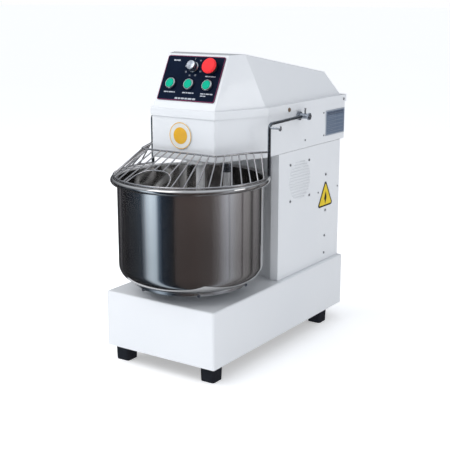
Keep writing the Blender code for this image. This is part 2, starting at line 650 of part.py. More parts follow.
def make_hook(axis, finish):
    """A straight shank that swings out into a coil and comes back to the axis at the bottom."""
    collar = turned([
        (0, 0.4835), (0.0115, 0.4835), (0.0125, 0.4850), (0.0125, 0.4900), (0.0105, 0.4910), (0.0105, 0.4930),
        (0.0130, 0.4940), (0.0130, 0.5000), (0.0110, 0.5010), (0.0110, 0.5060), (0, 0.5060),
    ])
    place("hook_collar", collar, finish["dark_steel"], axis)
    points = [(0, 0, 0.4832), (0, 0, 0.455), (0, 0, 0.430)]
    steps, turns = 40, 1.75
    for step in range(1, steps + 1):
        share = step / steps
        angle = radians(200) + turns * 2 * pi * share
        swing = min(share / 0.20, 1)
        tuck = max((share - 0.82) / 0.18, 0)
        reach = HOOK_SWEEP * (sin(swing * pi / 2) - 0.80 * tuck**2)
        drop = 0.430 - 0.186 * (1 - (1 - share) ** 1.12)
        points.append((reach * cos(angle), reach * sin(angle), drop))
    place("dough_hook", wire(points, HOOK_ROD), finish["steel"], axis)


def make_breaker_bar(mixer, finish):
    low, high = 0.248, HEAD_BOTTOM - 0.0085
    bar = turned([
        (0, low), (BAR_RADIUS - 0.004, low), (BAR_RADIUS, low + 0.004), (BAR_RADIUS, high), (0, high),
    ])
    place("breaker_bar", bar, finish["steel"], mixer, (BAR_X, BAR_Y, 0))
    plate = prism(rounded_rectangle(-0.025, -0.025, 0.025, 0.025, 0.006), high + GAP, HEAD_BOTTOM - GAP)
    place("breaker_bar_flange", plate, finish["steel"], mixer, (BAR_X, BAR_Y, 0))


# Guard

def upper_path():
    """The guard's upper wire from its right end to its left: it follows the head's nose in plan."""
    end = ring_point(-GUARD_END_ANGLE)
    flare = Vector((0.1495, 0.1775, GUARD_UPPER_Z))
    corner = Vector((0.1130, GUARD_UPPER_FRONT, GUARD_UPPER_Z))
    start = Vector((end.x, end.y - 0.002, GUARD_UPPER_Z))
    start += (flare - start).normalized() * (GUARD_ARM + 0.5 * GUARD_WIRE)
    right = [start, *bend(start, flare, corner, 0.03), *bend(flare, corner, (0, corner.y, corner.z), 0.014)]
    return right + [Vector((-p.x, p.y, p.z)) for p in reversed(right)]


def along(path, distance):
    """The point of a path this far from its start."""
    for a, b in zip(path, path[1:]):
        step = (b - a).length
        if distance <= step:
            return a.lerp(b, distance / step)
        distance -= step
    return path[-1]


def ring_point(angle):
    """A point of the lower ring. 0 is the right-hand side and 90 degrees the front."""
    return Vector((GUARD_RADIUS * cos(angle), GUARD_Y - GUARD_RADIUS * sin(angle), GUARD_Z))


def mesh_point(path, spacing, rise):
    """A point of the sloping mesh: spacings to the right of the front, and rise from 0 at the ring to 1."""
    length = sum((b - a).length for a, b in zip(path, path[1:]))
    top = along(path, length / 2 - spacing * GUARD_ROD_PITCH)
    return ring_point(pi / 2 - spacing * GUARD_ROD_ANGLE).lerp(top, rise)


def hoop_rise(spacing):
    """How high the feeding hoop stands this many spacings from its middle."""
    share = min(abs(spacing) / HOOP_REACH, 1)
    return HOOP_HEIGHT * (1 - share**2.5) ** 0.4


def make_guard(mixer, finish):
    axis = holder("guard_axis", (0, PIVOT_Y, PIVOT_Z), mixer)
    origin = -Vector((0, PIVOT_Y, PIVOT_Z))
    path = upper_path()
    steps = 46
    span = pi + 2 * GUARD_END_ANGLE
    ring = [ring_point(-GUARD_END_ANGLE + span * step / steps) for step in range(steps + 1)]
    cage = place("guard_cage", wire(ring, GUARD_WIRE, 1), finish["steel"], axis, origin)

    welded = bpy.data.collections.new("guard_wires")
    bpy.context.scene.collection.children.link(welded)
    bars = [("upper_wire", path, GUARD_WIRE)]
    for index in range(GUARD_RODS):
        spacing = (GUARD_RODS - 1) / 2 - index
        foot = hoop_rise(spacing) if abs(spacing) < HOOP_REACH else 0.0
        ends = [mesh_point(path, spacing, rise) for rise in (foot, 1)]
        bars.append((f"rod_{index:02d}", ends, GUARD_ROD))
    turns = [pi * step / 20 for step in range(21)]
    hoop = [mesh_point(path, HOOP_REACH * cos(t), hoop_rise(HOOP_REACH * cos(t))) for t in turns]
    bars.append(("feeding_hoop", hoop, GUARD_ROD))
    for name, points, radius in bars:
        bar = hidden(name, wire(points, radius, 1), axis, origin)
        bpy.context.scene.collection.objects.unlink(bar)
        welded.objects.link(bar)
    weld = cage.modifiers.new("welded_wires", "BOOLEAN")
    weld.operation, weld.operand_type, weld.collection = "UNION", "COLLECTION", welded

    end = ring_point(-GUARD_END_ANGLE)
    for side, name in ((1, "right"), (-1, "left")):
        foot = Vector((side * end.x, end.y, GUARD_Z + GUARD_WIRE + GAP))
        corner = Vector((side * end.x, end.y, 0.6083))
        eye = Vector((side * 0.1665, PIVOT_Y - 0.0074, PIVOT_Z - 0.001))
        arm = [foot, *bend(foot, corner, eye, 0.012), eye]
        place(f"guard_arm_{name}", wire(arm, GUARD_ARM, 3), finish["dark_steel"], axis, origin)
        clear = PIVOT_RADIUS + GAP
        hub = turned([
            (clear, 0.1555), (0.0115, 0.1555), (0.0115, 0.1610), (0.0068, 0.1614), (0.0068, 0.1838),
            (clear, 0.1838),
        ])
        place(f"guard_hub_{name}", hub, finish["steel"], axis, turn=(0, side * pi / 2, 0))
        hexagon = arc(0, 0, 0.0100, 0, 10 * pi / 6, 5)
        nut = prism(hexagon, 0.1841, 0.1895)
        place(f"guard_end_nut_{name}", nut, finish["dark_steel"], axis, turn=(0, side * pi / 2, 0))
    shaft = disc(PIVOT_RADIUS, -0.1838, 0.1838)
    place("guard_shaft", shaft, finish["steel"], axis, turn=(0, pi / 2, 0))
    screw = turned([
        (0, 0.0071), (0.0021, 0.0071), (0.0021, 0.0180), (0.0030, 0.0184), (0.0030, 0.0205), (0, 0.0205),
    ], 10)
    place("guard_set_screw", screw, finish["dark_steel"], axis, (0.1745, 0, 0))
    pin = turned([
        (0, 0.1842), (0.0030, 0.1842), (0.0030, 0.2085), (0.0065, 0.2090), (0.0065, 0.2110), (0.0055, 0.2119),
        (0, 0.2119),
    ])
    pin_at = Vector((0, end.y, 0.6000)) + origin
    place("guard_stop_pin", pin, finish["dark_steel"], axis, pin_at, (0, pi / 2, 0))


# Fan

def make_fan(mixer, finish):
    """A cooling fan behind the louvres in the column's right side, turning about X."""
    side, depth, wall = 0.108, 0.024, COLUMN_WIDTH / 2 - SHEET - GAP
    at, turn = (wall, VENT_Y, VENT_Z), (0, pi / 2, 0)
    case = block((-side / 2, -side / 2, -depth), (side / 2, side / 2, 0))
    case = bevelled(place("fan_frame", case, finish["black"], mixer, at, turn), 0.004)
    tunnel = hidden("fan_tunnel", disc(0.049, -depth - 0.01, 0.01), mixer, at, turn)
    cut(case, tunnel)
    outline = []
    for blade in range(7):
        start = 2 * pi * blade / 7
        for radius, turn in ((0.018, 0), (0.046, 0.10), (0.046, 0.55), (0.018, 0.50)):
            outline.append((radius * cos(start + turn), radius * sin(start + turn)))
    axis = holder("fan_axis", (wall - depth / 2, VENT_Y, VENT_Z), mixer)
    place("fan_rotor", prism(outline, -0.008, 0.008), finish["black"], axis, turn=(0, pi / 2, 0))


def main():
    clear_scene()
    finish = all_materials()
    mixer = holder("mixer", MIDDLE_SHIFT)
    make_plinth(mixer, finish)
    make_feet(mixer, finish)
    make_column(mixer, finish)
    make_head(mixer, finish)
    hood = make_hood(mixer, finish)
    make_panel(mixer, hood, finish)
    make_plates(mixer, finish)
    make_drive(mixer, finish)
    bowl_axis = holder("bowl_axis", (0, BOWL_Y, 0), mixer)
    make_bowl_drive(mixer, bowl_axis, finish)
    make_bowl(bowl_axis, finish)
    hook_axis = holder("hook_axis", (HOOK_X, HOOK_Y, 0), mixer)
    make_hook_drive(mixer, hook_axis, finish)
    make_hook(hook_axis, finish)
    make_breaker_bar(mixer, finish)
    make_guard(mixer, finish)
    make_fan(mixer, finish)


main()
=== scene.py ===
"""Looks for the spiral dough mixer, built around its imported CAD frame. Metres, +Z up, the front faces -Y."""

import json
from math import atan2, cos, pi, radians, sin, sqrt, tan

import bmesh
import bpy
from mathutils import Matrix, Vector


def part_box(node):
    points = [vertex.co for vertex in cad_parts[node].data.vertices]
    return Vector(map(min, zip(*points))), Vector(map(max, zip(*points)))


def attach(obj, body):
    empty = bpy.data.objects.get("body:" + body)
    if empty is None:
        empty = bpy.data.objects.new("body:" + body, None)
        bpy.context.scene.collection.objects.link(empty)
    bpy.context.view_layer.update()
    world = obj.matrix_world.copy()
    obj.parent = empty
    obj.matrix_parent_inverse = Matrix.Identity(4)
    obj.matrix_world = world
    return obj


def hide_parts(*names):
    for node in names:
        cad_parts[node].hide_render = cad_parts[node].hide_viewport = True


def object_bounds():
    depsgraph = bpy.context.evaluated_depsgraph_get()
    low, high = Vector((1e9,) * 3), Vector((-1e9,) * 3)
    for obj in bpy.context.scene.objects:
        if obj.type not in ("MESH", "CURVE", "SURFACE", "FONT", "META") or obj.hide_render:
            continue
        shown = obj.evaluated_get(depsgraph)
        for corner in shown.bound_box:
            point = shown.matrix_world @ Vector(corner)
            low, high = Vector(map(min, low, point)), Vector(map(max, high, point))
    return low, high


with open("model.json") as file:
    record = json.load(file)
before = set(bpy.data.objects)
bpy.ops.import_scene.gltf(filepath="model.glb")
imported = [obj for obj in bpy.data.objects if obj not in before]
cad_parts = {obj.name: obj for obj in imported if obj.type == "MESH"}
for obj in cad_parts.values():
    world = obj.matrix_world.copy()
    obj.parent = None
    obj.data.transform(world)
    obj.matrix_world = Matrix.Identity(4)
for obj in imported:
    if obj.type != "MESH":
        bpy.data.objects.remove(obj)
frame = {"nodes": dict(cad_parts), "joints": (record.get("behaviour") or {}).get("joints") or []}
CAD_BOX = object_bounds()
NODES = frame["nodes"]
JOINTS = {joint["name"]: joint for joint in frame["joints"]}

# Places in the mixer's own frame: from the middle of the plinth's front edge, at floor level
PLINTH_LOW, PLINTH_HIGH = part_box("plinth_shell")
ORIGIN = Vector(((PLINTH_LOW.x + PLINTH_HIGH.x) / 2, PLINTH_LOW.y, 0))
COLUMN_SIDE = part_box("column_shell")[1].x
HEAD_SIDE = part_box("head_box")[1].x
HOOD_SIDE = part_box("hood_cover")[1].x
BOWL_AXIS = Vector(JOINTS["bowl_spin"]["pos_m"])
HOOK_AXIS = Vector(JOINTS["hook_spin"]["pos_m"])
PIVOT = Vector(JOINTS["guard_tilt"]["pos_m"])

SLOPE_FOOT = ORIGIN + Vector((0, 0.1090, 0.6434))
PANEL_NORMAL = -Vector(JOINTS["timer_turn"]["axis"])
PANEL_UP = Vector((0, PANEL_NORMAL.z, -PANEL_NORMAL.y))
PANEL_FACE = 0.0021  # the film's surface above the slope
PANEL_WIDTH, PANEL_FOOT, PANEL_TOP = 0.1716, 0.0205, 0.1385
BUTTON_SPACING, BUTTON_UP, DIAL_UP = 0.0547, 0.0632, 0.1085
PUSH_BORE, DIAL_BORE = 0.0112, 0.0055


def spot(x, y, z):
    return ORIGIN + Vector((x, y, z))


# Node materials

def new_material(name, **settings):
    """A Principled material; settings are the shader's own sockets, with _ for a space."""
    made = bpy.data.materials.new(name)
    made.use_nodes = True
    shader = made.node_tree.nodes["Principled BSDF"]
    for key, value in settings.items():
        socket = shader.inputs[key.replace("_", " ")]
        socket.default_value = (*value, 1) if isinstance(value, tuple) else value
    return made


def add(made, kind, **settings):
    node = made.node_tree.nodes.new("ShaderNode" + kind)
    for key, value in settings.items():
        setattr(node, key, value)
    return node


def link(made, source, target):
    made.node_tree.links.new(source, target)


def position(made, stretch=(1, 1, 1)):
    """Object coordinates, scaled on each axis."""
    source = add(made, "TexCoord").outputs["Object"]
    if stretch == (1, 1, 1):
        return source
    mapping = add(made, "Mapping")
    mapping.inputs["Scale"].default_value = stretch
    link(made, source, mapping.inputs["Vector"])
    return mapping.outputs["Vector"]


def noise(made, scale, detail=3, stretch=(1, 1, 1), distortion=0.0):
    texture = add(made, "TexNoise")
    texture.inputs["Scale"].default_value = scale
    texture.inputs["Detail"].default_value = detail
    texture.inputs["Distortion"].default_value = distortion
    link(made, position(made, stretch), texture.inputs["Vector"])
    return texture.outputs["Fac"]


def ranged(made, source, low, high, start=0.3, end=0.7):
    """The source from start to end, as a value from low to high."""
    node = add(made, "MapRange")
    for name, value in zip(("From Min", "From Max", "To Min", "To Max"), (start, end, low, high)):
        node.inputs[name].default_value = value
    link(made, source, node.inputs["Value"])
    return node.outputs["Result"]


def blend_colours(made, factor, first, second):
    node = add(made, "Mix", data_type="RGBA")
    for socket, value in ((node.inputs[6], first), (node.inputs[7], second)):
        if isinstance(value, tuple):
            socket.default_value = (*value, 1)
        else:
            link(made, value, socket)
    link(made, factor, node.inputs[0])
    return node.outputs[2]


def combine(made, operation, first, second):
    node = add(made, "Math", operation=operation)
    for socket, value in zip(node.inputs, (first, second)):
        if isinstance(value, (int, float)):
            socket.default_value = value
        else:
            link(made, value, socket)
    return node.outputs["Value"]


def feed(made, name, source):
    """Links a source to a socket of the shader."""
    link(made, source, made.node_tree.nodes["Principled BSDF"].inputs[name])


def set_colour(made, source):
    feed(made, "Base Color", source)


def set_roughness(made, source):
    feed(made, "Roughness", source)


def set_bump(made, height, distance, strength=1.0):
    node = add(made, "Bump")
    node.inputs["Distance"].default_value = distance
    node.inputs["Strength"].default_value = strength
    link(made, height, node.inputs["Height"])
    feed(made, "Normal", node.outputs["Normal"])


def paint_material():
    """Gloss white powder coat: a faint orange peel, and a tone that drifts slightly over each panel."""
    made = new_material("gloss_white_paint", Coat_Weight=0.6, Coat_Roughness=0.06)
    drift = noise(made, 4, 3)
    whites = (0.815, 0.835, 0.86), (0.845, 0.86, 0.88)
    set_colour(made, blend_colours(made, ranged(made, drift, 0, 1), *whites))
    set_roughness(made, ranged(made, noise(made, 30, 4), 0.29, 0.37))
    peel = combine(made, "ADD", noise(made, 420, 1), combine(made, "MULTIPLY", noise(made, 60, 2), 2.0))
    set_bump(made, peel, 0.00003, 0.12)
    return made


def spun_steel(name, colours, roughness, rings, waviness, anisotropy, metal=1.0):
    """Steel polished on a lathe: hair-fine rings about Z, and slow waves that bend its reflections."""
    made = new_material(name, Metallic=metal, Anisotropic=anisotropy, Anisotropic_Rotation=0.25)
    tangent = add(made, "Tangent", direction_type="RADIAL", axis="Z")
    link(made, tangent.outputs["Tangent"], made.node_tree.nodes["Principled BSDF"].inputs["Tangent"])
    hair = noise(made, rings, 4, (0.02, 0.02, 1))
    cloud = noise(made, 9, 3)
    set_colour(made, blend_colours(made, ranged(made, cloud, 0, 1), *colours))
    set_roughness(made, ranged(made, hair, *roughness))
    waves = combine(made, "MULTIPLY", noise(made, 7, 1, (1, 1, 0.22)), waviness)
    fine = combine(made, "MULTIPLY", hair, 0.012)
    set_bump(made, combine(made, "ADD", waves, fine), 0.001, 1.0)
    return made


def bar_steel(name, colours, roughness, scale=300, metal=1.0):
    """Drawn or ground steel bar, with a fine grain and faint smudges."""
    made = new_material(name, Metallic=metal)
    grain = noise(made, scale, 3)
    cloud = noise(made, 28, 4)
    set_colour(made, blend_colours(made, ranged(made, cloud, 0, 1), *colours))
    set_roughness(made, ranged(made, grain, *roughness))
    set_bump(made, grain, 0.00004, 0.5)
    return made


def moulded(name, colours, roughness, grain=500, coat=0.0, depth=0.00005, shine=0.35):
    """Moulded plastic or rubber with a fine grain."""
    made = new_material(name, Coat_Weight=coat, Coat_Roughness=0.08, Specular_IOR_Level=shine)
    fine = noise(made, grain, 2)
    cloud = noise(made, 35, 3)
    set_colour(made, blend_colours(made, ranged(made, cloud, 0, 1), *colours))
    set_roughness(made, ranged(made, noise(made, 90, 3), *roughness))
    set_bump(made, fine, depth, 0.6)
    return made


def cast_material(name, colours):
    made = new_material(name, Metallic=0.6)
    pits = noise(made, 350, 5)
    set_colour(made, blend_colours(made, ranged(made, noise(made, 24, 4), 0, 1), *colours))
    set_roughness(made, ranged(made, pits, 0.45, 0.75))
    set_bump(made, pits, 0.0004, 0.7)
    return made


def printed_plate():
    """The data plate: a brushed blue-grey face with ruled lines, and plain grain in place of words."""
    made = new_material("rating_plate_print", Metallic=0.35, Roughness=0.42)
    parts = add(made, "SeparateXYZ")
    link(made, add(made, "TexCoord").outputs["Object"], parts.inputs["Vector"])
    low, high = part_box("rating_plate")
    along = ranged(made, parts.outputs["Y"], 0, 1, low.y, high.y)
    up = ranged(made, parts.outputs["Z"], 0, 1, low.z, high.z)

    def both(first, second):
        return combine(made, "MULTIPLY", first, second)

    def band(source, start, end):
        above = combine(made, "GREATER_THAN", source, start)
        return both(above, combine(made, "LESS_THAN", source, end))

    inside = both(band(along, 0.05, 0.95), band(up, 0.07, 0.93))
    row = combine(made, "FRACT", both(up, 7.0), 0)
    ruled = combine(made, "GREATER_THAN", row, 0.84)
    column = combine(made, "ADD", band(along, 0.49, 0.505), band(along, 0.045, 0.06))
    lines = both(combine(made, "MAXIMUM", ruled, column), inside)
    smudge = noise(made, 900, 2, (1, 1, 0.35))
    words = both(combine(made, "GREATER_THAN", smudge, 0.53), band(row, 0.28, 0.62))
    words = both(both(words, inside), band(along, 0.09, 0.44))
    brushed = noise(made, 400, 3, (1, 0.05, 1))
    ground = blend_colours(made, ranged(made, brushed, 0, 1), (0.155, 0.210, 0.30), (0.205, 0.260, 0.36))
    heading = both(band(up, 0.80, 0.93), band(along, 0.07, 0.93))
    ground = blend_colours(made, both(heading, 0.6), ground, (0.05, 0.07, 0.12))
    face = both(band(along, 0.03, 0.97), band(up, 0.045, 0.955))
    edge = combine(made, "SUBTRACT", 1.0, face)
    ground = blend_colours(made, both(edge, 0.7), ground, (0.55, 0.60, 0.66))
    faint_lines = both(lines, 0.22)
    marks = combine(made, "MAXIMUM", faint_lines, both(words, 0.26))
    set_colour(made, blend_colours(made, marks, ground, (0.62, 0.66, 0.70)))
    set_roughness(made, ranged(made, brushed, 0.36, 0.5))
    set_bump(made, brushed, 0.00003, 0.5)
    return made


def film_material():
    """The panel's printed film: dark navy with a grain that catches a little light."""
    made = new_material("panel_film", Specular_IOR_Level=0.06)
    grain = noise(made, 700, 2)
    cloud = noise(made, 22, 3)
    navy = (0.002, 0.006, 0.019), (0.004, 0.010, 0.028)
    set_colour(made, blend_colours(made, ranged(made, cloud, 0, 1), *navy))
    set_roughness(made, ranged(made, grain, 0.32, 0.48))
    set_bump(made, grain, 0.00003, 0.5)
    return made


FINISHES = {
    "paint": paint_material(),
    "bowl": spun_steel(
        "polished_bowl", ((0.67, 0.65, 0.64), (0.72, 0.71, 0.70)), (0.045, 0.10), 1500, 3.0, 0.6, 0.98),
    "table": spun_steel(
        "turntable_steel", ((0.60, 0.61, 0.63), (0.70, 0.71, 0.72)), (0.24, 0.36), 1100, 0.2, 0.3),
    "top": spun_steel(
        "knob_top_steel", ((0.78, 0.82, 0.90), (0.88, 0.91, 0.98)), (0.17, 0.24), 4000, 0.0, 0.9),
    "wire": bar_steel("wire_steel", ((0.50, 0.49, 0.50), (0.62, 0.60, 0.60)), (0.12, 0.24)),
    "bar": bar_steel("ground_bar_steel", ((0.90, 0.90, 0.91), (0.96, 0.96, 0.96)), (0.40, 0.50), metal=0.3),
    "arm": bar_steel("dark_arm_steel", ((0.15, 0.165, 0.19), (0.25, 0.27, 0.30)), (0.18, 0.3)),
    "hub": bar_steel("hub_steel", ((0.30, 0.33, 0.38), (0.42, 0.45, 0.50)), (0.2, 0.34)),
    "pin": bar_steel("pin_steel", ((0.60, 0.62, 0.66), (0.72, 0.74, 0.77)), (0.2, 0.34)),
    "screw": bar_steel("screw_steel", ((0.36, 0.37, 0.39), (0.50, 0.51, 0.53)), (0.28, 0.42), 700),
    "worn": bar_steel("worn_zinc", ((0.22, 0.15, 0.10), (0.36, 0.27, 0.20)), (0.35, 0.50), 900, 0.5),
    "dark": bar_steel("blackened_steel", ((0.05, 0.052, 0.058), (0.10, 0.10, 0.11)), (0.34, 0.5)),
    "bezel": bar_steel("bright_bezel", ((0.70, 0.72, 0.75), (0.80, 0.81, 0.83)), (0.24, 0.34), 500),
    "grey": moulded("grey_plastic", ((0.58, 0.59, 0.61), (0.66, 0.67, 0.69)), (0.4, 0.55), 400),
    "rubber": moulded(
        "foot_rubber", ((0.008, 0.010, 0.017), (0.016, 0.019, 0.028)), (0.45, 0.65), 420, 0, 0.0002),
    "black": moulded("black_plastic", ((0.012, 0.012, 0.013), (0.022, 0.022, 0.024)), (0.38, 0.55)),
    "green": moulded(
        "green_cap", ((0.000, 0.41, 0.25), (0.002, 0.48, 0.30)), (0.30, 0.42), 900, 0.0, 0.00002, 0.12),
    "red": moulded(
        "red_cap", ((0.90, 0.030, 0.038), (0.98, 0.042, 0.050)), (0.34, 0.46), 900, 0.0, 0.00002, 0.2),
    "amber": moulded(
        "amber_enamel", ((0.78, 0.40, 0.006), (0.86, 0.47, 0.012)), (0.29, 0.36), 600, 0.5, 0.00002),
    "silver": moulded(
        "silver_enamel", ((0.74, 0.74, 0.70), (0.82, 0.81, 0.77)), (0.29, 0.37), 600, 0.4, 0.00002),
    "white_ink": moulded("white_ink", ((0.40, 0.43, 0.49), (0.50, 0.53, 0.58)), (0.5, 0.6), 1500),
    "pink_ink": moulded("pink_ink", ((0.30, 0.05, 0.13), (0.38, 0.07, 0.17)), (0.4, 0.5), 1500),
    "yellow": moulded(
        "yellow_enamel", ((0.80, 0.58, 0.012), (0.90, 0.66, 0.03)), (0.3, 0.4), 500, 0.3, 0.00002),
    "film": film_material(),
    "plate": printed_plate(),
    "cast": cast_material("cast_iron", ((0.11, 0.12, 0.13), (0.20, 0.21, 0.22))),
    "motor": moulded("motor_paint", ((0.05, 0.09, 0.15), (0.07, 0.12, 0.19)), (0.35, 0.5), 300, 0.2, 0.0002),
}

CAD_FINISHES = {
    "paint": ("plinth_shell", "column_shell", "rear_cover", "head_box", "hood_cover"),
    "rubber": ("foot_front_left", "foot_front_right", "foot_rear_left", "foot_rear_right", "drive_belt"),
    "dark": ("base_plate", "motor_shelf", "bowl_sprocket", "drive_sprocket", "bowl_chain", "hook_bearing"),
    "bar": ("bowl_shaft", "drive_shaft", "hook_shaft"),
    "black": ("timer_body", "cable_gland", "electrical_box"),
    "grey": ("fan_frame", "fan_rotor"),
    "cast": ("lower_bearing", "upper_bearing", "bowl_bearing", "gearbox", "drive_pulley", "hook_pulley"),
    "motor": ("motor",),
    "plate": ("rating_plate",),
}


# Mesh building

def fillet(corners, steps=6):
    """Points along a path whose corners, given as (point, radius), are rounded with arcs."""
    points = []
    for index, (corner, radius) in enumerate(corners):
        corner = Vector(corner)
        if radius <= 0 or index in (0, len(corners) - 1):
            points.append(corner)
            continue
        before, after = Vector(corners[index - 1][0]) - corner, Vector(corners[index + 1][0]) - corner
        half = before.angle(after) / 2
        reach = min(radius / tan(half), 0.499 * before.length, 0.499 * after.length)
        radius = reach * tan(half)
        middle = corner + (before.normalized() + after.normalized()).normalized() * radius / sin(half)
        first = corner + before.normalized() * reach - middle
        last = corner + after.normalized() * reach - middle
        sweep = first.angle(last)
        for step in range(steps + 1):
            share = step / steps
            weight = (sin((1 - share) * sweep), sin(share * sweep))
            points.append(middle + (first * weight[0] + last * weight[1]) / sin(sweep))
    return points


def rounded_profile(*corners, steps=5):
    """A lathe profile from (radius, height, rounding) corners."""
    return [(p.x, p.z) for p in fillet([((r, 0, z), round_off) for r, z, round_off in corners], steps)]


def lathe(profile, segments=96, closed=False, shape=None, at=Matrix()):
    """A profile of (radius, height) turned about Z. closed joins its end to its start."""
    shape = shape or bmesh.new()
    rings = []
    for radius, height in profile:
        count = 1 if radius < 1e-6 else segments
        turns = [2 * pi * index / segments for index in range(count)]
        circle = [(radius * cos(t), radius * sin(t)) for t in turns]
        rings.append([shape.verts.new(at @ Vector((x, y, height))) for x, y in circle])
    pairs = list(zip(rings, rings[1:])) + ([(rings[-1], rings[0])] if closed else [])
    for lower, upper in pairs:
        for index in range(segments):
            after = (index + 1) % segments
            if len(lower) == 1 and len(upper) == 1:
                break
            if len(lower) == 1:
                shape.faces.new((lower[0], upper[after], upper[index]))
            elif len(upper) == 1:
                shape.faces.new((lower[index], lower[after], upper[0]))
            else:
                shape.faces.new((lower[index], lower[after], upper[after], upper[index]))
    return shape


def tube(shape, points, radius, sides=14):
    """A round bar along the points, with domed ends."""
    points = [Vector(p) for p in points]
    ways = []
    for index in range(len(points)):
        before, after = points[max(index - 1, 0)], points[min(index + 1, len(points) - 1)]
        ways.append((after - before).normalized())
    side = ways[0].orthogonal().normalized()
    rings = []

    def ring(centre, size, way):
        across = way.cross(side)
        turns = [2 * pi * index / sides for index in range(sides)]
        rings.append([shape.verts.new(centre + size * (side * cos(t) + across * sin(t))) for t in turns])

    for step in (0.1, 0.4, 0.7):
        ring(points[0] - ways[0] * radius * (1 - step), radius * sqrt(1 - (1 - step) ** 2), ways[0])
    for point, way in zip(points, ways):
        side = (side - way * side.dot(way)).normalized()
        ring(point, radius, way)
    for step in (0.7, 0.4, 0.1):
        ring(points[-1] + ways[-1] * radius * (1 - step), radius * sqrt(1 - (1 - step) ** 2), ways[-1])
    for lower, upper in zip(rings, rings[1:]):
        for index in range(sides):
            after = (index + 1) % sides
            shape.faces.new((lower[index], lower[after], upper[after], upper[index]))
    for ends, tip in ((rings[0], points[0] - ways[0] * radius), (rings[-1], points[-1] + ways[-1] * radius)):
        top = shape.verts.new(tip)
        for index in range(sides):
            shape.faces.new((ends[index], ends[(index + 1) % sides], top))
    return shape


def prism(shape, outline, low, high, at=Matrix(), edge=0.0):
    """A flat plate over the outline, with a small chamfer round its upper face."""
    centre = sum((Vector(p) for p in outline), Vector((0, 0))) / len(outline)
    inner = [Vector(p) - (Vector(p) - centre).normalized() * edge for p in outline]
    levels = [(outline, low), (outline, high - edge)] + ([(inner, high)] if edge else [])
    rings = [[shape.verts.new(at @ Vector((x, y, z))) for x, y in ring] for ring, z in levels]
    for lower, upper in zip(rings, rings[1:]):
        for index in range(len(outline)):
            after = (index + 1) % len(outline)
            shape.faces.new((lower[index], lower[after], upper[after], upper[index]))
    shape.faces.new(rings[-1])
    shape.faces.new(list(reversed(rings[0])))
    return shape


def rectangle(width, height, radius, centre=(0, 0), steps=5):
    """A rounded rectangle's outline."""
    points = []
    for sx, sy, start in ((1, 1, 0), (-1, 1, 90), (-1, -1, 180), (1, -1, 270)):
        for step in range(steps + 1):
            turn = radians(start + 90 * step / steps)
            x = sx * (width / 2 - radius) + radius * cos(turn)
            y = sy * (height / 2 - radius) + radius * sin(turn)
            points.append((centre[0] + x, centre[1] + y))
    return points


def stand(name, data):
    """The data as an object in the scene."""
    made = bpy.data.objects.new(name, data)
    bpy.context.scene.collection.objects.link(made)
    return made


def piece(name, shape, finish, body="machine", replaces=(), sharp=35, at=None):
    """The bmesh as a named object that rides on a body."""
    if isinstance(shape, bmesh.types.BMesh):
        bmesh.ops.recalc_face_normals(shape, faces=shape.faces)
        mesh = bpy.data.meshes.new(name)
        shape.to_mesh(mesh)
        shape.free()
        mesh.shade_smooth()
        mesh.set_sharp_from_angle(angle=radians(sharp))
    else:
        mesh = shape
    if finish is not None and not mesh.materials:
        mesh.materials.append(FINISHES[finish])
    made = stand(name, mesh)
    if at is not None:
        made.matrix_world = at
    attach(made, body)
    if replaces:
        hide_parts(*replaces)
    return made


def facing(at, normal, turn=0.0):
    """The matrix that puts a piece's Z on the normal."""
    look = Vector(normal).to_track_quat("Z", "Y").to_matrix().to_4x4()
    return Matrix.Translation(at) @ look @ Matrix.Rotation(turn, 4, "Z")


# Housings

def dress_cad():
    for finish, names in CAD_FINISHES.items():
        for name in names:
            node = NODES[name]
            node.data.materials.clear()
            node.data.materials.append(FINISHES[finish])


# Fasteners

def cross_head(radius):
    """A pan head with a cross recess."""
    shape = lathe(rounded_profile(
        (0, -0.001, 0), (radius, -0.001, 0), (radius, radius * 0.30, radius * 0.30),
        (radius * 0.5, radius * 0.62, radius * 0.5), (0, radius * 0.66, 0)), 32)
    head = bpy.data.meshes.new("cross_head")
    bmesh.ops.recalc_face_normals(shape, faces=shape.faces)
    shape.to_mesh(head)
    shape.free()
    cutter = bmesh.new()
    arm, wide = radius * 0.62, radius * 0.15
    plus = [(wide, wide), (arm, wide), (arm, -wide), (wide, -wide), (wide, -arm), (-wide, -arm)]
    plus += [(-wide, -wide), (-arm, -wide), (-arm, wide), (-wide, wide), (-wide, arm), (wide, arm)]
    prism(cutter, plus, radius * 0.25, radius)
    bmesh.ops.recalc_face_normals(cutter, faces=cutter.faces)
    return cut_mesh(head, cutter)


def cut_mesh(mesh, cutter):
    """The mesh with the cutter's shape taken out."""
    tool = bpy.data.meshes.new("tool")
    cutter.to_mesh(tool)
    cutter.free()
    objects = [bpy.data.objects.new(name, data) for name, data in (("cut_base", mesh), ("cut_tool", tool))]
    for thing in objects:
        bpy.context.scene.collection.objects.link(thing)
    hole = objects[0].modifiers.new("hole", "BOOLEAN")
    hole.operation, hole.object = "DIFFERENCE", objects[1]
    graph = bpy.context.evaluated_depsgraph_get()
    made = bpy.data.meshes.new_from_object(objects[0].evaluated_get(graph), depsgraph=graph)
    for thing in objects:
        bpy.data.objects.remove(thing)
    made.shade_smooth()
    made.set_sharp_from_angle(angle=radians(35))
    return made


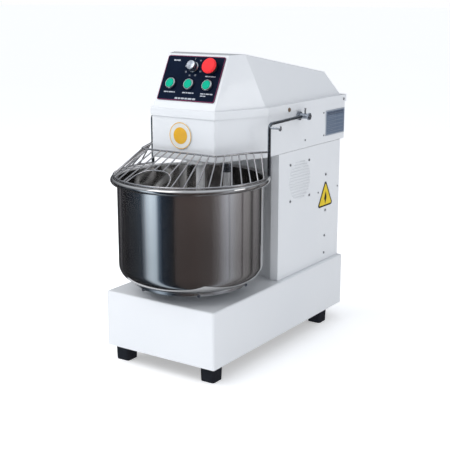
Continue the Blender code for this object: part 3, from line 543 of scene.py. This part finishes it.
def hex_head(radius, height):
    """A hexagon head on a washer."""
    shape = lathe(rounded_profile(
        (0, -0.0006, 0), (radius * 1.25, -0.0006, 0), (radius * 1.25, 0.0010, 0.0003), (0, 0.0010, 0)), 32)
    hexagon = [(radius * cos(pi * k / 3), radius * sin(pi * k / 3)) for k in range(6)]
    prism(shape, hexagon, 0.0009, height, edge=radius * 0.13)
    crown, foot, top = radius * 0.62, height - 0.0004, height + 0.0002
    lathe(rounded_profile((0, foot, 0), (crown, foot, 0), (crown, top, 0.0002), (0, top, 0)), 24, shape=shape)
    bmesh.ops.recalc_face_normals(shape, faces=shape.faces)
    made = bpy.data.meshes.new("hex_head")
    shape.to_mesh(made)
    shape.free()
    made.shade_smooth()
    made.set_sharp_from_angle(angle=radians(30))
    return made


# Where the sides' fasteners stand, as (y, z) in the mixer's own frame
COLUMN_SCREWS = (
    (0.3675, 0.4837), (0.4663, 0.4842), (0.4699, 0.3879), (0.3691, 0.3871),
    (0.5619, 0.4306), (0.5632, 0.3294), (0.5618, 0.2569), (0.5606, 0.2072),
)
FAN_SCREWS = 4  # the first of the column's, which are on the right only
COLUMN_RIVETS = (0.633, 0.3866), (0.5209, 0.3855)
HEAD_SCREWS = (0.5393, 0.6022), (0.5421, 0.5410), (0.4400, 0.5405)
RIM_BOLTS = (0.3494, 0.6290), (0.6484, 0.6310)
REAR_X, REAR_Z, REAR_PITCH, REAR_ROWS = 0.138, 0.205, 0.098, 4
TABLE_BOLTS, TABLE_START, TABLE_REACH = 6, 12.8, 0.1468
FLANGE_REACH = 0.0178


def on_side(name, head, finish, x, place, turn=0.0):
    """A fastener on a side of the machine. x is negative on the left."""
    right = Vector((1, 0, 0))
    at = facing(spot(x, *place), right if x > 0 else -right, turn)
    piece(name, head, finish, at=at)


def make_screws():
    small, tiny = cross_head(0.0036), cross_head(0.0026)
    bolt, lug = hex_head(0.0038, 0.0042), hex_head(0.0034, 0.0036)
    worn = hex_head(0.0046, 0.0030)
    side, head, rim = COLUMN_SIDE - ORIGIN.x, HEAD_SIDE - ORIGIN.x, HOOD_SIDE - ORIGIN.x
    for index, place in enumerate(COLUMN_SCREWS):
        on_side(f"column_screw_{index + 1}", small, "screw", side, place, 0.3 * index)
        if index >= FAN_SCREWS:
            name = f"column_screw_left_{index - FAN_SCREWS + 1}"
            on_side(name, small, "screw", -side, place, 0.5 * index)
    for index, place in enumerate(COLUMN_RIVETS):
        on_side(f"column_rivet_{index + 1}", tiny, "screw", side, place)
    for index, place in enumerate(HEAD_SCREWS):
        on_side(f"head_screw_{index + 1}", tiny, "screw", head, place, 0.4 * index)
        on_side(f"head_screw_left_{index + 1}", tiny, "screw", -head, place, 0.7 * index)
    for index, (place, kind, finish) in enumerate(zip(RIM_BOLTS, (worn, small), ("worn", "screw"))):
        on_side(f"rim_bolt_{index + 1}", kind, finish, rim, place, 0.2 + index)
        on_side(f"rim_bolt_left_{index + 1}", small, "screw", -rim, place, 0.6 + index)
    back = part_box("rear_cover")[1].y
    for index in range(2 * REAR_ROWS):
        x, z = (-REAR_X, REAR_X)[index % 2], REAR_Z + (index // 2) * REAR_PITCH
        at = facing(Vector((ORIGIN.x + x, back, z)), (0, 1, 0), 0.4 * index)
        piece(f"rear_screw_{index + 1}", small, "screw", at=at)
    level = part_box("turntable")[0].z + 0.0012
    for index in range(TABLE_BOLTS):
        turn = radians(TABLE_START + 360 / TABLE_BOLTS * index)
        out = Vector((cos(turn), sin(turn), 0))
        at = facing(Vector((BOWL_AXIS.x, BOWL_AXIS.y, level)) + out * TABLE_REACH, out, 0.2)
        piece(f"turntable_bolt_{index + 1}", lug, "hub", "bowl", at=at)
    flange_low, flange_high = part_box("breaker_bar_flange")
    middle = (flange_low + flange_high) / 2
    for index, (sx, sy) in enumerate(((1, 1), (-1, 1), (-1, -1), (1, -1))):
        at = Vector((middle.x + sx * FLANGE_REACH, middle.y + sy * FLANGE_REACH, flange_low.z))
        piece(f"flange_bolt_{index + 1}", bolt, "bezel", at=facing(at, (0, 0, -1), 0.5 * index))


# Bowl and tools

def make_bowl():
    """A spun bowl: round bottom corner, flat floor, rolled rim bead, and the turntable under it."""
    lift = Matrix.Translation((BOWL_AXIS.x, BOWL_AXIS.y, 0))
    radius, bottom, wall, corner, neck = 0.1826, 0.2187, 0.0017, 0.037, 0.4600
    bead_reach, bead_level, bead_width, bead_height, steps = 0.1920, 0.4699, 0.0069, 0.0074, 26
    turns = [radians(-128 + 290 * step / steps) for step in range(steps + 1)]
    bead = [(bead_reach + bead_width * cos(t), bead_level + bead_height * sin(t)) for t in turns]
    outside = rounded_profile((0, bottom, 0), (radius, bottom, corner), (radius, neck, 0), steps=16)
    lower = rounded_profile((radius, neck, 0), (radius, 0.4628, 0.002), (*bead[0], 0))
    inner, floor = radius - wall, bottom + wall
    inside = rounded_profile((inner, 0.4720, 0), (inner, floor, corner - wall), (0, floor, 0), steps=16)
    shape = lathe(outside + lower[1:-1] + bead + inside, 192, at=lift)
    piece("bowl_spun", shape, "bowl", "bowl", replaces=["bowl"], sharp=50)
    low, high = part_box("turntable")
    plate = lathe(rounded_profile(
        (0, low.z, 0), (0.147, low.z, 0.0014), (0.147, 0.216, 0.0014), (0.124, 0.216, 0.001),
        (0.118, high.z, 0.001), (0, high.z, 0)), 144, at=lift)
    piece("turntable_plate", plate, "table", "bowl", replaces=["turntable"])


def make_hook():
    """A turned clamp collar, and a bar that swings out from its shank into a coil and tucks in at its tip."""
    centre = Vector((HOOK_AXIS.x, HOOK_AXIS.y, 0))
    collar = lathe(rounded_profile(
        (0, 0.4835, 0), (0.0115, 0.4835, 0.0006), (0.0126, 0.4848, 0.0006), (0.0126, 0.4902, 0.0008),
        (0.0105, 0.4910, 0.0004), (0.0105, 0.4930, 0.0004), (0.0130, 0.4940, 0.0008),
        (0.0130, 0.5000, 0.0008), (0.0110, 0.5010, 0.0004), (0.0110, 0.5060, 0.0004), (0, 0.5060, 0)),
        64, at=Matrix.Translation(centre))
    piece("hook_clamp_collar", collar, "arm", "hook", replaces=["hook_collar"])
    bar_radius, shank_top, shank_middle, shank_foot = 0.0095, 0.4826, 0.455, 0.430
    coil_turns, coil_start, coil_reach, coil_depth, steps = 1.75, radians(200), 0.047, 0.186, 160
    swing_share, tuck_share, tuck_depth, smoothing = 0.20, 0.18, 0.80, 3
    points = [(0, 0, shank_top), (0, 0, shank_middle), (0, 0, shank_foot)]
    for step in range(1, steps + 1):
        share = step / steps
        angle = coil_start + coil_turns * 2 * pi * share
        swing, tuck = min(share / swing_share, 1), max((share - 0.82) / tuck_share, 0)
        reach = coil_reach * (sin(swing * pi / 2) - tuck_depth * tuck**2)
        drop = shank_foot - coil_depth * (1 - (1 - share) ** 1.12)
        points.append((reach * cos(angle), reach * sin(angle), drop))
    points = [centre + Vector(p) for p in points]
    for _ in range(smoothing):
        between = [(a + 2 * b + c) / 4 for a, b, c in zip(points, points[1:], points[2:])]
        points = [points[0], *between, points[-1]]
    hook = tube(bmesh.new(), points, bar_radius, 28)
    piece("spiral_hook", hook, "bar", "hook", replaces=["dough_hook"])


def make_breaker_bar():
    low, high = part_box("breaker_bar")
    middle = (low + high) / 2
    bar = lathe(rounded_profile(
        (0, low.z, 0), (0.0108, low.z, 0.004), (0.0108, high.z, 0.0003), (0, high.z, 0)), 64,
        at=Matrix.Translation((middle.x, middle.y, 0)))
    piece("breaker_bar_turned", bar, "bar", replaces=["breaker_bar"])
    low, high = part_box("breaker_bar_flange")
    plate = bmesh.new()
    prism(plate, rectangle(0.05, 0.05, 0.006), low.z, high.z, Matrix.Translation((middle.x, middle.y, 0)))
    piece("breaker_bar_plate", plate, "bar", replaces=["breaker_bar_flange"])


# Guard

GUARD_Y, GUARD_RADIUS, GUARD_Z = 0.1447, 0.1942, 0.4803
GUARD_WIRE, GUARD_ROD, GUARD_ARM = 0.0025, 0.0018, 0.004
GUARD_END = radians(22.08)
UPPER_Z, UPPER_FRONT = 0.541, 0.088
ROD_ANGLE, ROD_PITCH, RODS = radians(8.6), 0.0206, 24
HOOP_REACH, HOOP_HEIGHT = 2.1, 0.44


def ring_point(angle):
    return spot(GUARD_RADIUS * cos(angle), GUARD_Y - GUARD_RADIUS * sin(angle), GUARD_Z)


def upper_path():
    """The upper wire from its right end to its left."""
    end = ring_point(-GUARD_END)
    flare, corner = spot(0.1495, 0.1775, UPPER_Z), spot(0.1130, UPPER_FRONT, UPPER_Z)
    start = Vector((end.x, end.y - 0.002, UPPER_Z))
    start += (flare - start).normalized() * (GUARD_ARM + 0.5 * GUARD_WIRE)
    front = spot(0, UPPER_FRONT, UPPER_Z)
    right = fillet([(start, 0), (flare, 0.03), (corner, 0.014), (front, 0)], 10)[:-1]
    return right + [Vector((2 * ORIGIN.x - p.x, p.y, p.z)) for p in reversed(right)]


def along(path, distance):
    for a, b in zip(path, path[1:]):
        step = (b - a).length
        if distance <= step:
            return a.lerp(b, distance / step)
        distance -= step
    return path[-1]


def make_guard():
    path = upper_path()
    length = sum((b - a).length for a, b in zip(path, path[1:]))

    def mesh_point(spacing, rise):
        top = along(path, length / 2 - spacing * ROD_PITCH)
        return ring_point(pi / 2 - spacing * ROD_ANGLE).lerp(top, rise)

    def hoop_rise(spacing):
        return HOOP_HEIGHT * (1 - min(abs(spacing) / HOOP_REACH, 1) ** 2.5) ** 0.4

    cage = bmesh.new()
    span = pi + 2 * GUARD_END
    tube(cage, [ring_point(-GUARD_END + span * step / 140) for step in range(141)], GUARD_WIRE, 14)
    tube(cage, path, GUARD_WIRE, 14)
    joints = []
    for index in range(RODS):
        spacing = (RODS - 1) / 2 - index
        foot = hoop_rise(spacing) if abs(spacing) < HOOP_REACH else 0.0
        ends = [mesh_point(spacing, rise) for rise in (foot, 1)]
        tube(cage, ends, GUARD_ROD, 12)
        joints += ends
    turns = [pi * step / 60 for step in range(61)]
    hoop = [mesh_point(HOOP_REACH * cos(t), hoop_rise(HOOP_REACH * cos(t))) for t in turns]
    tube(cage, hoop, GUARD_ROD, 12)
    joints += [hoop[0], hoop[-1]]
    for at in joints:
        bead = bmesh.ops.create_icosphere(cage, subdivisions=2, radius=0.0027, matrix=Matrix.Translation(at))
        for vert in bead["verts"]:
            vert.co.z = at.z + (vert.co.z - at.z) * 0.8
    piece("guard_wires", cage, "wire", "guard", replaces=["guard_cage"], sharp=60)

    end = ring_point(-GUARD_END) - ORIGIN
    pivot = PIVOT - ORIGIN
    for side, name in ((1, "right"), (-1, "left")):
        foot = spot(side * end.x, end.y, GUARD_Z + GUARD_WIRE + 0.0003)
        corner = spot(side * end.x, end.y, 0.6083)
        eye = spot(side * 0.1665, pivot.y - 0.0074, pivot.z - 0.001)
        bar = tube(bmesh.new(), fillet([(foot, 0), (corner, 0.012), (eye, 0)], 14), GUARD_ARM, 20)
        piece(f"guard_bar_{name}", bar, "arm", "guard", replaces=[f"guard_arm_{name}"],
              sharp=60)
        axis = facing(spot(0, pivot.y, pivot.z), (side, 0, 0))
        hub = lathe(rounded_profile(
            (0.0048, 0.1555, 0), (0.0115, 0.1555, 0.0003), (0.0115, 0.1610, 0.0008), (0.0070, 0.1614, 0.0006),
            (0.0068, 0.1838, 0.0005), (0.0048, 0.1838, 0)), 48, closed=True, at=axis)
        piece(f"guard_boss_{name}", hub, "hub", "guard", replaces=[f"guard_hub_{name}"])
        nut = bmesh.new()
        hexagon = [(0.0100 * cos(pi * k / 3), 0.0100 * sin(pi * k / 3)) for k in range(6)]
        prism(nut, hexagon, 0.1841, 0.1891, axis, edge=0.0012)
        lathe(rounded_profile(
            (0, 0.1888, 0), (0.0058, 0.1888, 0), (0.0058, 0.1895, 0.0004), (0, 0.1895, 0)),
            32, shape=nut, at=axis)
        piece(f"guard_nut_{name}", nut, "hub", "guard", replaces=[f"guard_end_nut_{name}"])
    shaft = lathe(rounded_profile(
        (0, -0.1838, 0), (0.0045, -0.1838, 0.0003), (0.0045, 0.1838, 0.0003), (0, 0.1838, 0)),
        32, at=facing(spot(0, pivot.y, pivot.z), (1, 0, 0)))
    piece("guard_cross_shaft", shaft, "pin", "guard", replaces=["guard_shaft"])
    lift = Matrix.Translation(spot(0.1745, pivot.y, pivot.z))
    screw = lathe(rounded_profile(
        (0, 0.0071, 0), (0.0021, 0.0071, 0), (0.0021, 0.0180, 0), (0.0030, 0.0184, 0.0003),
        (0.0030, 0.0205, 0.0008), (0, 0.0205, 0)), 24, at=lift)
    piece("guard_clamp_screw", screw, "screw", "guard", replaces=["guard_set_screw"])
    pin = lathe(rounded_profile(
        (0, 0.1842, 0), (0.0030, 0.1842, 0.0003), (0.0030, 0.2085, 0.0004), (0.0065, 0.2090, 0.0006),
        (0.0065, 0.2112, 0.0010), (0.0050, 0.2119, 0.0006), (0, 0.2119, 0)), 36,
        at=facing(spot(0, end.y, 0.6000), (1, 0, 0)))
    piece("guard_rest_pin", pin, "pin", "guard", replaces=["guard_stop_pin"])


# Control panel

def on_panel(x, up, height=0.0):
    """The matrix of a point on the sloping panel: X across, Y up the slope, Z out of it."""
    at = SLOPE_FOOT + Vector((x, 0, 0)) + PANEL_UP * up + PANEL_NORMAL * height
    turn = Matrix(((1, 0, 0), PANEL_UP, PANEL_NORMAL)).transposed().to_4x4()
    return Matrix.Translation(at) @ turn


# Printed bars in place of captions: left end, height up the slope, each bar's width, their height and gap
CAPTIONS = (
    (-0.0655, 0.1254, (0.0062, 0.0034, 0.0082), 0.0040, 0.0010),
    (0.0405, 0.0868, (0.0082, 0.0048, 0.0106, 0.0030), 0.0026, 0.0012),
    (-0.0700, 0.0420, (0.0088, 0.0040, 0.0130, 0.0046), 0.0030, 0.0012),
    (-0.0140, 0.0420, (0.0098, 0.0044, 0.0110, 0.0052), 0.0030, 0.0012),
    (0.0400, 0.0418, (0.0100, 0.0036, 0.0098, 0.0090), 0.0028, 0.0012),
    (0.0410, 0.0362, (0.0084, 0.0062), 0.0028, 0.0012),
    (-0.0320, 0.0268, (0.0088, 0.0064, 0.0100, 0.0076, 0.0120, 0.0090), 0.0042, 0.0016),
)
DIAL_MARKS, DIAL_FIRST, DIAL_PITCH, DIAL_STEP = 9, 134, 40, 5
DIAL_WIDE, DIAL_TALL, NUMBER_SIZE, NUMBER_DEPTH = 0.0245, 0.0225, 0.0056, 0.00004


def make_panel():
    """The film-covered plate with its bored holes, its printed border and its print."""
    centre = (0, (PANEL_FOOT + PANEL_TOP) / 2)
    size = (PANEL_WIDTH, PANEL_TOP - PANEL_FOOT)
    plate = bmesh.new()
    prism(plate, rectangle(*size, 0.005, centre, 8), 0.0003, PANEL_FACE, edge=0.0003)
    base = bpy.data.meshes.new("panel_base")
    bmesh.ops.recalc_face_normals(plate, faces=plate.faces)
    plate.to_mesh(base)
    plate.free()
    bores = bmesh.new()
    buttons = [(x, BUTTON_UP, PUSH_BORE) for x in (-BUTTON_SPACING, 0, BUTTON_SPACING)]
    for x, up, radius in (*buttons, (0, DIAL_UP, DIAL_BORE), (BUTTON_SPACING, DIAL_UP, PUSH_BORE)):
        bore = [(0, -0.004), (radius, -0.004), (radius, 0.004), (0, 0.004)]
        lathe(bore, 48, shape=bores, at=Matrix.Translation((x, up, 0)))
    bmesh.ops.recalc_face_normals(bores, faces=bores.faces)
    panel = cut_mesh(base, bores)
    piece("panel_plate", panel, "film", replaces=["control_panel"],
          at=on_panel(0, 0))
    make_border(size, centre)
    make_captions()
    make_dial_numbers()


def make_border(size, centre):
    """A thin printed line round the panel."""
    border = bmesh.new()
    rings = []
    for trim, radius in ((0.0012, 0.0045), (0.0034, 0.0034)):
        outline = rectangle(size[0] - trim, size[1] - trim, radius, centre)
        rings.append([border.verts.new((x, y, PANEL_FACE + 0.00006)) for x, y in outline])
    outer, inner = rings
    for index in range(len(outer)):
        after = (index + 1) % len(outer)
        border.faces.new((outer[index], outer[after], inner[after], inner[index]))
    thick = bmesh.ops.extrude_face_region(border, geom=border.faces[:])["geom"]
    top = [v for v in thick if isinstance(v, bmesh.types.BMVert)]
    bmesh.ops.translate(border, verts=top, vec=(0, 0, 0.00006))
    piece("panel_border", border, "pink_ink", at=on_panel(0, 0))


def make_captions():
    ink = bmesh.new()
    low, high = PANEL_FACE + 0.00005, PANEL_FACE + 0.00012
    for left, up, widths, height, gap in CAPTIONS:
        for width in widths:
            outline = rectangle(width, height, min(width, height) * 0.3, steps=2)
            prism(ink, outline, low, high, Matrix.Translation((left + width / 2, up, 0)))
            left += width + gap
    piece("panel_print", ink, "white_ink", at=on_panel(0, 0))


def make_dial_numbers():
    """The timer's plain numbers, 0 to 40, clockwise from its upper left."""
    numbers = bmesh.new()
    for index in range(DIAL_MARKS):
        turn = radians(DIAL_FIRST - DIAL_PITCH * index)
        text = bpy.data.curves.new("dial_number", "FONT")
        text.body, text.size, text.extrude = str(index * DIAL_STEP), NUMBER_SIZE, NUMBER_DEPTH
        text.align_x, text.align_y = "CENTER", "CENTER"
        carrier = bpy.data.objects.new("dial_number", text)
        mesh = bpy.data.meshes.new_from_object(carrier)
        at = (DIAL_WIDE * cos(turn), DIAL_UP + DIAL_TALL * sin(turn), PANEL_FACE + 0.0001)
        mesh.transform(Matrix.Translation(at))
        numbers.from_mesh(mesh)
        bpy.data.objects.remove(carrier)
        bpy.data.curves.remove(text)
        bpy.data.meshes.remove(mesh)
    bmesh.ops.remove_doubles(numbers, verts=numbers.verts, dist=1e-6)
    piece("dial_numbers", numbers, "white_ink", at=on_panel(0, 0))


def make_buttons():
    face = PANEL_FACE + 0.0003
    for index, side in enumerate(("left", "centre", "right")):
        at = on_panel((index - 1) * BUTTON_SPACING, BUTTON_UP)
        bezel = lathe(rounded_profile(
            (0.0063, -0.030, 0), (0.0109, -0.030, 0.0005), (0.0109, face, 0), (0.0143, face, 0.0004),
            (0.0143, face + 0.0048, 0.0014), (0.0128, face + 0.0065, 0.0008), (0.0117, face + 0.0065, 0.0006),
            (0.0116, face + 0.0008, 0.0002), (0.0063, face + 0.0008, 0)), 72, closed=True)
        piece(f"button_bezel_{side}", bezel, "bezel", replaces=[f"button_body_{side}"],
              at=at)
        cap = lathe(rounded_profile(
            (0, -0.008, 0), (0.006, -0.008, 0), (0.006, face + 0.0031, 0), (0.0112, face + 0.0031, 0.0003),
            (0.0112, face + 0.0066, 0.0009), (0.0098, face + 0.0078, 0.0010), (0.0085, face + 0.0073, 0.0020),
            (0, face + 0.0071, 0)), 72)
        piece(f"button_dome_{side}", cap, "green", f"button_{side}", replaces=[f"button_cap_{side}"],
              at=at)
    at = on_panel(BUTTON_SPACING, DIAL_UP)
    base = lathe(rounded_profile(
        (0.0063, -0.034, 0), (0.0109, -0.034, 0.0005), (0.0109, face, 0), (0.0148, face, 0.0003),
        (0.0148, face + 0.0040, 0.0010), (0.0135, face + 0.005, 0.0005), (0.0063, face + 0.005, 0)),
        72, closed=True)
    piece("stop_collar", base, "black", replaces=["stop_base"], at=at)
    mushroom = lathe(rounded_profile(
        (0, -0.006, 0), (0.006, -0.006, 0), (0.0085, face + 0.0115, 0.0005), (0.0176, face + 0.0117, 0.0006),
        (0.0193, face + 0.0135, 0.0014), (0.0193, face + 0.0176, 0.0030), (0.0168, face + 0.0202, 0.0040),
        (0.0075, face + 0.0204, 0.0060), (0, face + 0.0197, 0), steps=8), 96)
    piece("stop_mushroom", mushroom, "red", "stop", replaces=["stop_button"], at=at)


def make_knob():
    """A metal timer knob: a skirt, a fluted grip and a spun top."""
    face = PANEL_FACE + 0.0003
    at = on_panel(0, DIAL_UP)
    grip = bmesh.new()
    profile = rounded_profile(
        (0, -0.016, 0), (0.003, -0.016, 0), (0.003, face + 0.0006, 0), (0.0135, face + 0.0006, 0.0002),
        (0.0140, face + 0.0022, 0.0008), (0.0121, face + 0.0040, 0.0014), (0.0119, face + 0.0155, 0.0003),
        (0.0114, face + 0.0165, 0.0004), (0.0109, face + 0.0167, 0.0002), (0, face + 0.0167, 0))
    flutes, flute_depth = 30, 0.022
    lathe(profile, 120, shape=grip)
    for vert in grip.verts:
        if face + 0.0050 < vert.co.z < face + 0.0155:
            wave = 0.5 + 0.5 * cos(flutes * atan2(vert.co.y, vert.co.x))
            vert.co.xy *= 1 - flute_depth * wave
    piece("knob_grip", grip, "bezel", "timer", replaces=["timer_knob"], at=at, sharp=28)
    top = lathe(rounded_profile(
        (0, face + 0.0166, 0), (0.0108, face + 0.0166, 0), (0.0108, face + 0.0170, 0.0002),
        (0, face + 0.0170, 0)), 72)
    piece("knob_top", top, "top", "timer", at=at)


# Plates

def make_badge():
    """A plain amber disc in an amber ring, on a silver disc."""
    low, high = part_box("front_badge")
    centre = Vector(((low.x + high.x) / 2, high.y, (low.z + high.z) / 2))
    at = facing(centre, (0, -1, 0))
    front = high.y - low.y
    disc = lathe(rounded_profile(
        (0, 0, 0), (0.0333, 0, 0.0002), (0.0333, front - 0.0003, 0.0012), (0.0308, front - 0.0003, 0.0006),
        (0.0302, front - 0.0007, 0.0003), (0, front - 0.0007, 0), steps=6), 96)
    piece("badge_disc", disc, "silver", replaces=["front_badge"], at=at)
    inner, outer, back, face = 0.0308, 0.0326, front - 0.00045, front - 0.00025
    ring = lathe([(inner, back), (outer, back), (outer, face), (inner, face)], 96, closed=True)
    piece("badge_ring", ring, "amber", at=at)
    dot = lathe(rounded_profile(
        (0, front - 0.0009, 0), (0.0205, front - 0.0009, 0), (0.0205, front - 0.0003, 0.0004),
        (0, front - 0.0001, 0)), 72)
    piece("badge_centre", dot, "amber", at=at)


def make_triangle():
    """A plain yellow triangle with a lozenge, on the column's right side."""
    low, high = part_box("warning_plate")
    middle = Vector((low.x, (low.y + high.y) / 2, ORIGIN.z + 0.3655))
    at = Matrix.Translation(middle) @ Matrix(((0, 0, 1), (1, 0, 0), (0, 1, 0))).to_4x4()

    def triangle(reach, radius):
        points = []
        for corner in (90, 210, 330):
            for step in range(9):
                turn = radians(corner - 60 + 120 * step / 8)
                points.append([reach * way(radians(corner)) + radius * way(turn) for way in (cos, sin)])
        return points

    back = bmesh.new()
    prism(back, triangle(0.038, 0.006), 0, 0.0005)
    piece("triangle_back", back, "black", replaces=["warning_plate"], at=at)
    front = bmesh.new()
    prism(front, triangle(0.0345, 0.0035), 0.0004, 0.0006)
    piece("triangle_face", front, "yellow", at=at)
    mark = bmesh.new()
    lozenge = (0.0016, 0.0172), (-0.0066, -0.0018), (-0.0004, -0.0190), (0.0066, 0.0012)
    prism(mark, lozenge, 0.00055, 0.0007)
    piece("triangle_mark", mark, "black", at=at)


def make_louvres():
    """A pressed lip over each of the vent's slots, open underneath."""
    side, middle_y, middle_z = COLUMN_SIDE - ORIGIN.x, 0.418, 0.437
    slots, pitch, vent_radius, overlap = 13, 0.0079, 0.0535, 0.0006
    section = (  # how far a lip's section stands out, and its height above the slot's middle
        (0.0001, 0.0022), (0.0007, 0.0021), (0.0019, -0.0004), (0.0018, -0.0011), (0.0013, -0.0009),
        (0.0001, 0.0013),
    )
    lips = bmesh.new()
    for index in range(slots):
        level = (index - (slots - 1) // 2) * pitch
        half = sqrt(vent_radius**2 - level**2) + overlap
        rings = []
        for share in (-1, -0.94, 0.94, 1):
            out = 1.0 if abs(share) < 1 else 0.25
            y, height = middle_y + half * share, middle_z + level
            rings.append([lips.verts.new(spot(side + x * out, y, height + z)) for x, z in section])
        for lower, upper in zip(rings, rings[1:]):
            for k in range(len(section)):
                after = (k + 1) % len(section)
                lips.faces.new((lower[k], lower[after], upper[after], upper[k]))
        lips.faces.new(rings[0])
        lips.faces.new(list(reversed(rings[-1])))
    piece("vent_louvres", lips, "paint")


# Studio

# What the polished steel sees round it near the floor: degrees round from +X, then red, green and blue
STUDIO_BANDS = (
    (-180, 0.008, 0.008, 0.010), (-150, 0.022, 0.030, 0.042), (-138, 0.040, 0.056, 0.080),
    (-132, 0.26, 0.31, 0.37), (-127, 0.66, 0.78, 0.90), (-119, 0.90, 1.07, 1.22),
    (-111, 0.76, 0.92, 1.07), (-105.5, 0.13, 0.19, 0.27),
    (-99, 0.012, 0.024, 0.045), (-82, 0.004, 0.006, 0.011), (-75, 0.078, 0.060, 0.057),
    (-50, 0.080, 0.060, 0.056), (-22, 0.100, 0.085, 0.083), (-10, 0.21, 0.20, 0.21), (-3, 0.38, 0.385, 0.42),
    (5, 0.52, 0.54, 0.60), (6.5, 0.28, 0.29, 0.32), (9, 0.50, 0.52, 0.57), (20, 0.38, 0.38, 0.40),
    (30, 0.31, 0.30, 0.315), (33, 0.08, 0.07, 0.075), (36, 0.33, 0.32, 0.335), (49, 0.27, 0.265, 0.27),
    (56.5, 0.06, 0.057, 0.06), (63, 0.26, 0.255, 0.265), (75, 0.20, 0.195, 0.205), (87, 0.04, 0.04, 0.043),
    (136, 0.03, 0.03, 0.035), (150, 0.02, 0.02, 0.025), (163, 0.11, 0.11, 0.12),
    (168, 0.025, 0.025, 0.03),
)
BAND_STRENGTH = 1.25  # keeps each band's colour under 1
# Heights in the room run from 0 straight down to 1 straight up
WALL_FADE = (0.0, 0.4), (0.355, 0.6), (0.402, 0.95), (0.5, 1.0)
CEILING_EDGE = (0.52, 0.0), (0.62, 1.0)
CEILING_COLOURS = (0.62, (0.141, 0.15, 0.162)), (0.88, (0.47, 0.50, 0.54))
SOFT_COLOUR, SOFT_STRENGTH = (0.91, 0.945, 1.0), 0.69
FLOOR_GLOW, FLOOR_HALF = 0.40, 60
CAMERA_LENS, CAMERA_SENSOR, CAMERA_DOWN, CAMERA_TURN = 77.05, 36, 13.50, 34.09


def glow(made, colour, strength):
    """A background's light. Its colour is fixed, or comes from a node."""
    node = add(made, "Background")
    node.inputs["Strength"].default_value = strength
    if isinstance(colour, tuple):
        node.inputs["Color"].default_value = (*colour, 1)
    else:
        link(made, colour, node.inputs["Color"])
    return node.outputs[0]


def ramp(made, source, stops):
    """A colour ramp. Each stop is a place and a colour, or a place and a grey level."""
    node = add(made, "ValToRGB")
    elements = node.color_ramp.elements
    while len(elements) < len(stops):
        elements.new(0.5)
    for element, (place, colour) in zip(elements, stops):
        element.position = place
        element.color = (*colour, 1) if isinstance(colour, tuple) else (colour, colour, colour, 1)
    link(made, source, node.inputs["Fac"])
    return node.outputs["Color"]


def choose(made, switch, off, on):
    node = add(made, "MixShader")
    for socket, source in zip(node.inputs, (switch, off, on)):
        link(made, source, socket)
    return node.outputs[0]


def make_world():
    """White to the camera and soft grey light on surfaces. Gloss sees the bands, and a pale ceiling."""
    world = bpy.data.worlds.new("studio")
    world.use_nodes = True
    world.node_tree.nodes.clear()
    rays = add(world, "LightPath").outputs
    parts = add(world, "SeparateXYZ")
    link(world, add(world, "TexCoord").outputs["Generated"], parts.inputs[0])
    turn = combine(world, "ARCTAN2", parts.outputs["Y"], parts.outputs["X"])
    turn = ranged(world, turn, 0, 1, -pi, pi)
    rise = ranged(world, parts.outputs["Z"], 0, 1, -1, 1)
    bands = []
    for angle, *colour in STUDIO_BANDS:
        bands.append(((angle + 180) / 360, tuple(level / BAND_STRENGTH for level in colour)))
    walls = blend_colours(world, ramp(world, rise, WALL_FADE), (0, 0, 0), ramp(world, turn, bands))
    room = blend_colours(world, ramp(world, rise, CEILING_EDGE), walls, ramp(world, rise, CEILING_COLOURS))
    soft = glow(world, SOFT_COLOUR, SOFT_STRENGTH)
    lit = choose(world, rays["Is Glossy Ray"], soft, glow(world, room, BAND_STRENGTH))
    seen = choose(world, rays["Is Camera Ray"], lit, glow(world, (1, 1, 1), 1))
    link(world, seen, add(world, "OutputWorld").inputs[0])
    bpy.context.scene.world = world


def make_floor():
    """A plain pale floor that glows a little, so that it stays nearly white under soft light."""
    floor_mesh = bmesh.new()
    bmesh.ops.create_grid(floor_mesh, x_segments=8, y_segments=8, size=FLOOR_HALF)
    mesh = bpy.data.meshes.new("floor")
    floor_mesh.to_mesh(mesh)
    floor_mesh.free()
    made = new_material("pale_floor", Roughness=0.8, Specular_IOR_Level=0.1,
                        Emission_Color=(1.0, 1.0, 1.0), Emission_Strength=FLOOR_GLOW)
    set_colour(made, blend_colours(made, noise(made, 0.8, 3), (0.90, 0.905, 0.915), (0.93, 0.93, 0.935)))
    mesh.materials.append(made)
    floor = stand("floor", mesh)
    floor.location.z = CAD_BOX[0].z
    floor.visible_glossy = False


def make_light(name, at, target, size, energy, glossy=True):
    data = bpy.data.lights.new(name, "AREA")
    data.shape, data.size, data.size_y, data.energy = "RECTANGLE", *size, energy
    light = stand(name, data)
    light.location = at
    light.visible_glossy = glossy
    light.rotation_euler = (Vector(target) - Vector(at)).to_track_quat("-Z", "Y").to_euler()


def make_camera():
    data = bpy.data.cameras.new("camera")
    data.lens, data.sensor_width, data.clip_end = CAMERA_LENS, CAMERA_SENSOR, 200
    camera = stand("camera", data)
    camera.location = spot(1.3915, -1.7642, 0.9152)
    camera.rotation_euler = (radians(90 - CAMERA_DOWN), 0, radians(CAMERA_TURN))
    bpy.context.scene.camera = camera


make_camera()
make_world()
make_floor()
make_light("key", spot(-0.45, -1.75, 2.55), spot(0, 0.25, 0.4), (1.8, 1.8), 17)
make_light("left", spot(-2.2, -0.6, 2.0), spot(0, 0.2, 0.3), (1.5, 1.5), 34, glossy=False)
make_light("side", spot(2.2, 0.78, 0.93), spot(0.1, 0.25, 0.65), (0.7, 0.6), 2.6)
bpy.context.scene.view_settings.view_transform = "Standard"

dress_cad()
make_bowl()
make_hook()
make_breaker_bar()
make_guard()
make_panel()
make_buttons()
make_knob()
make_badge()
make_triangle()
make_louvres()
make_screws()
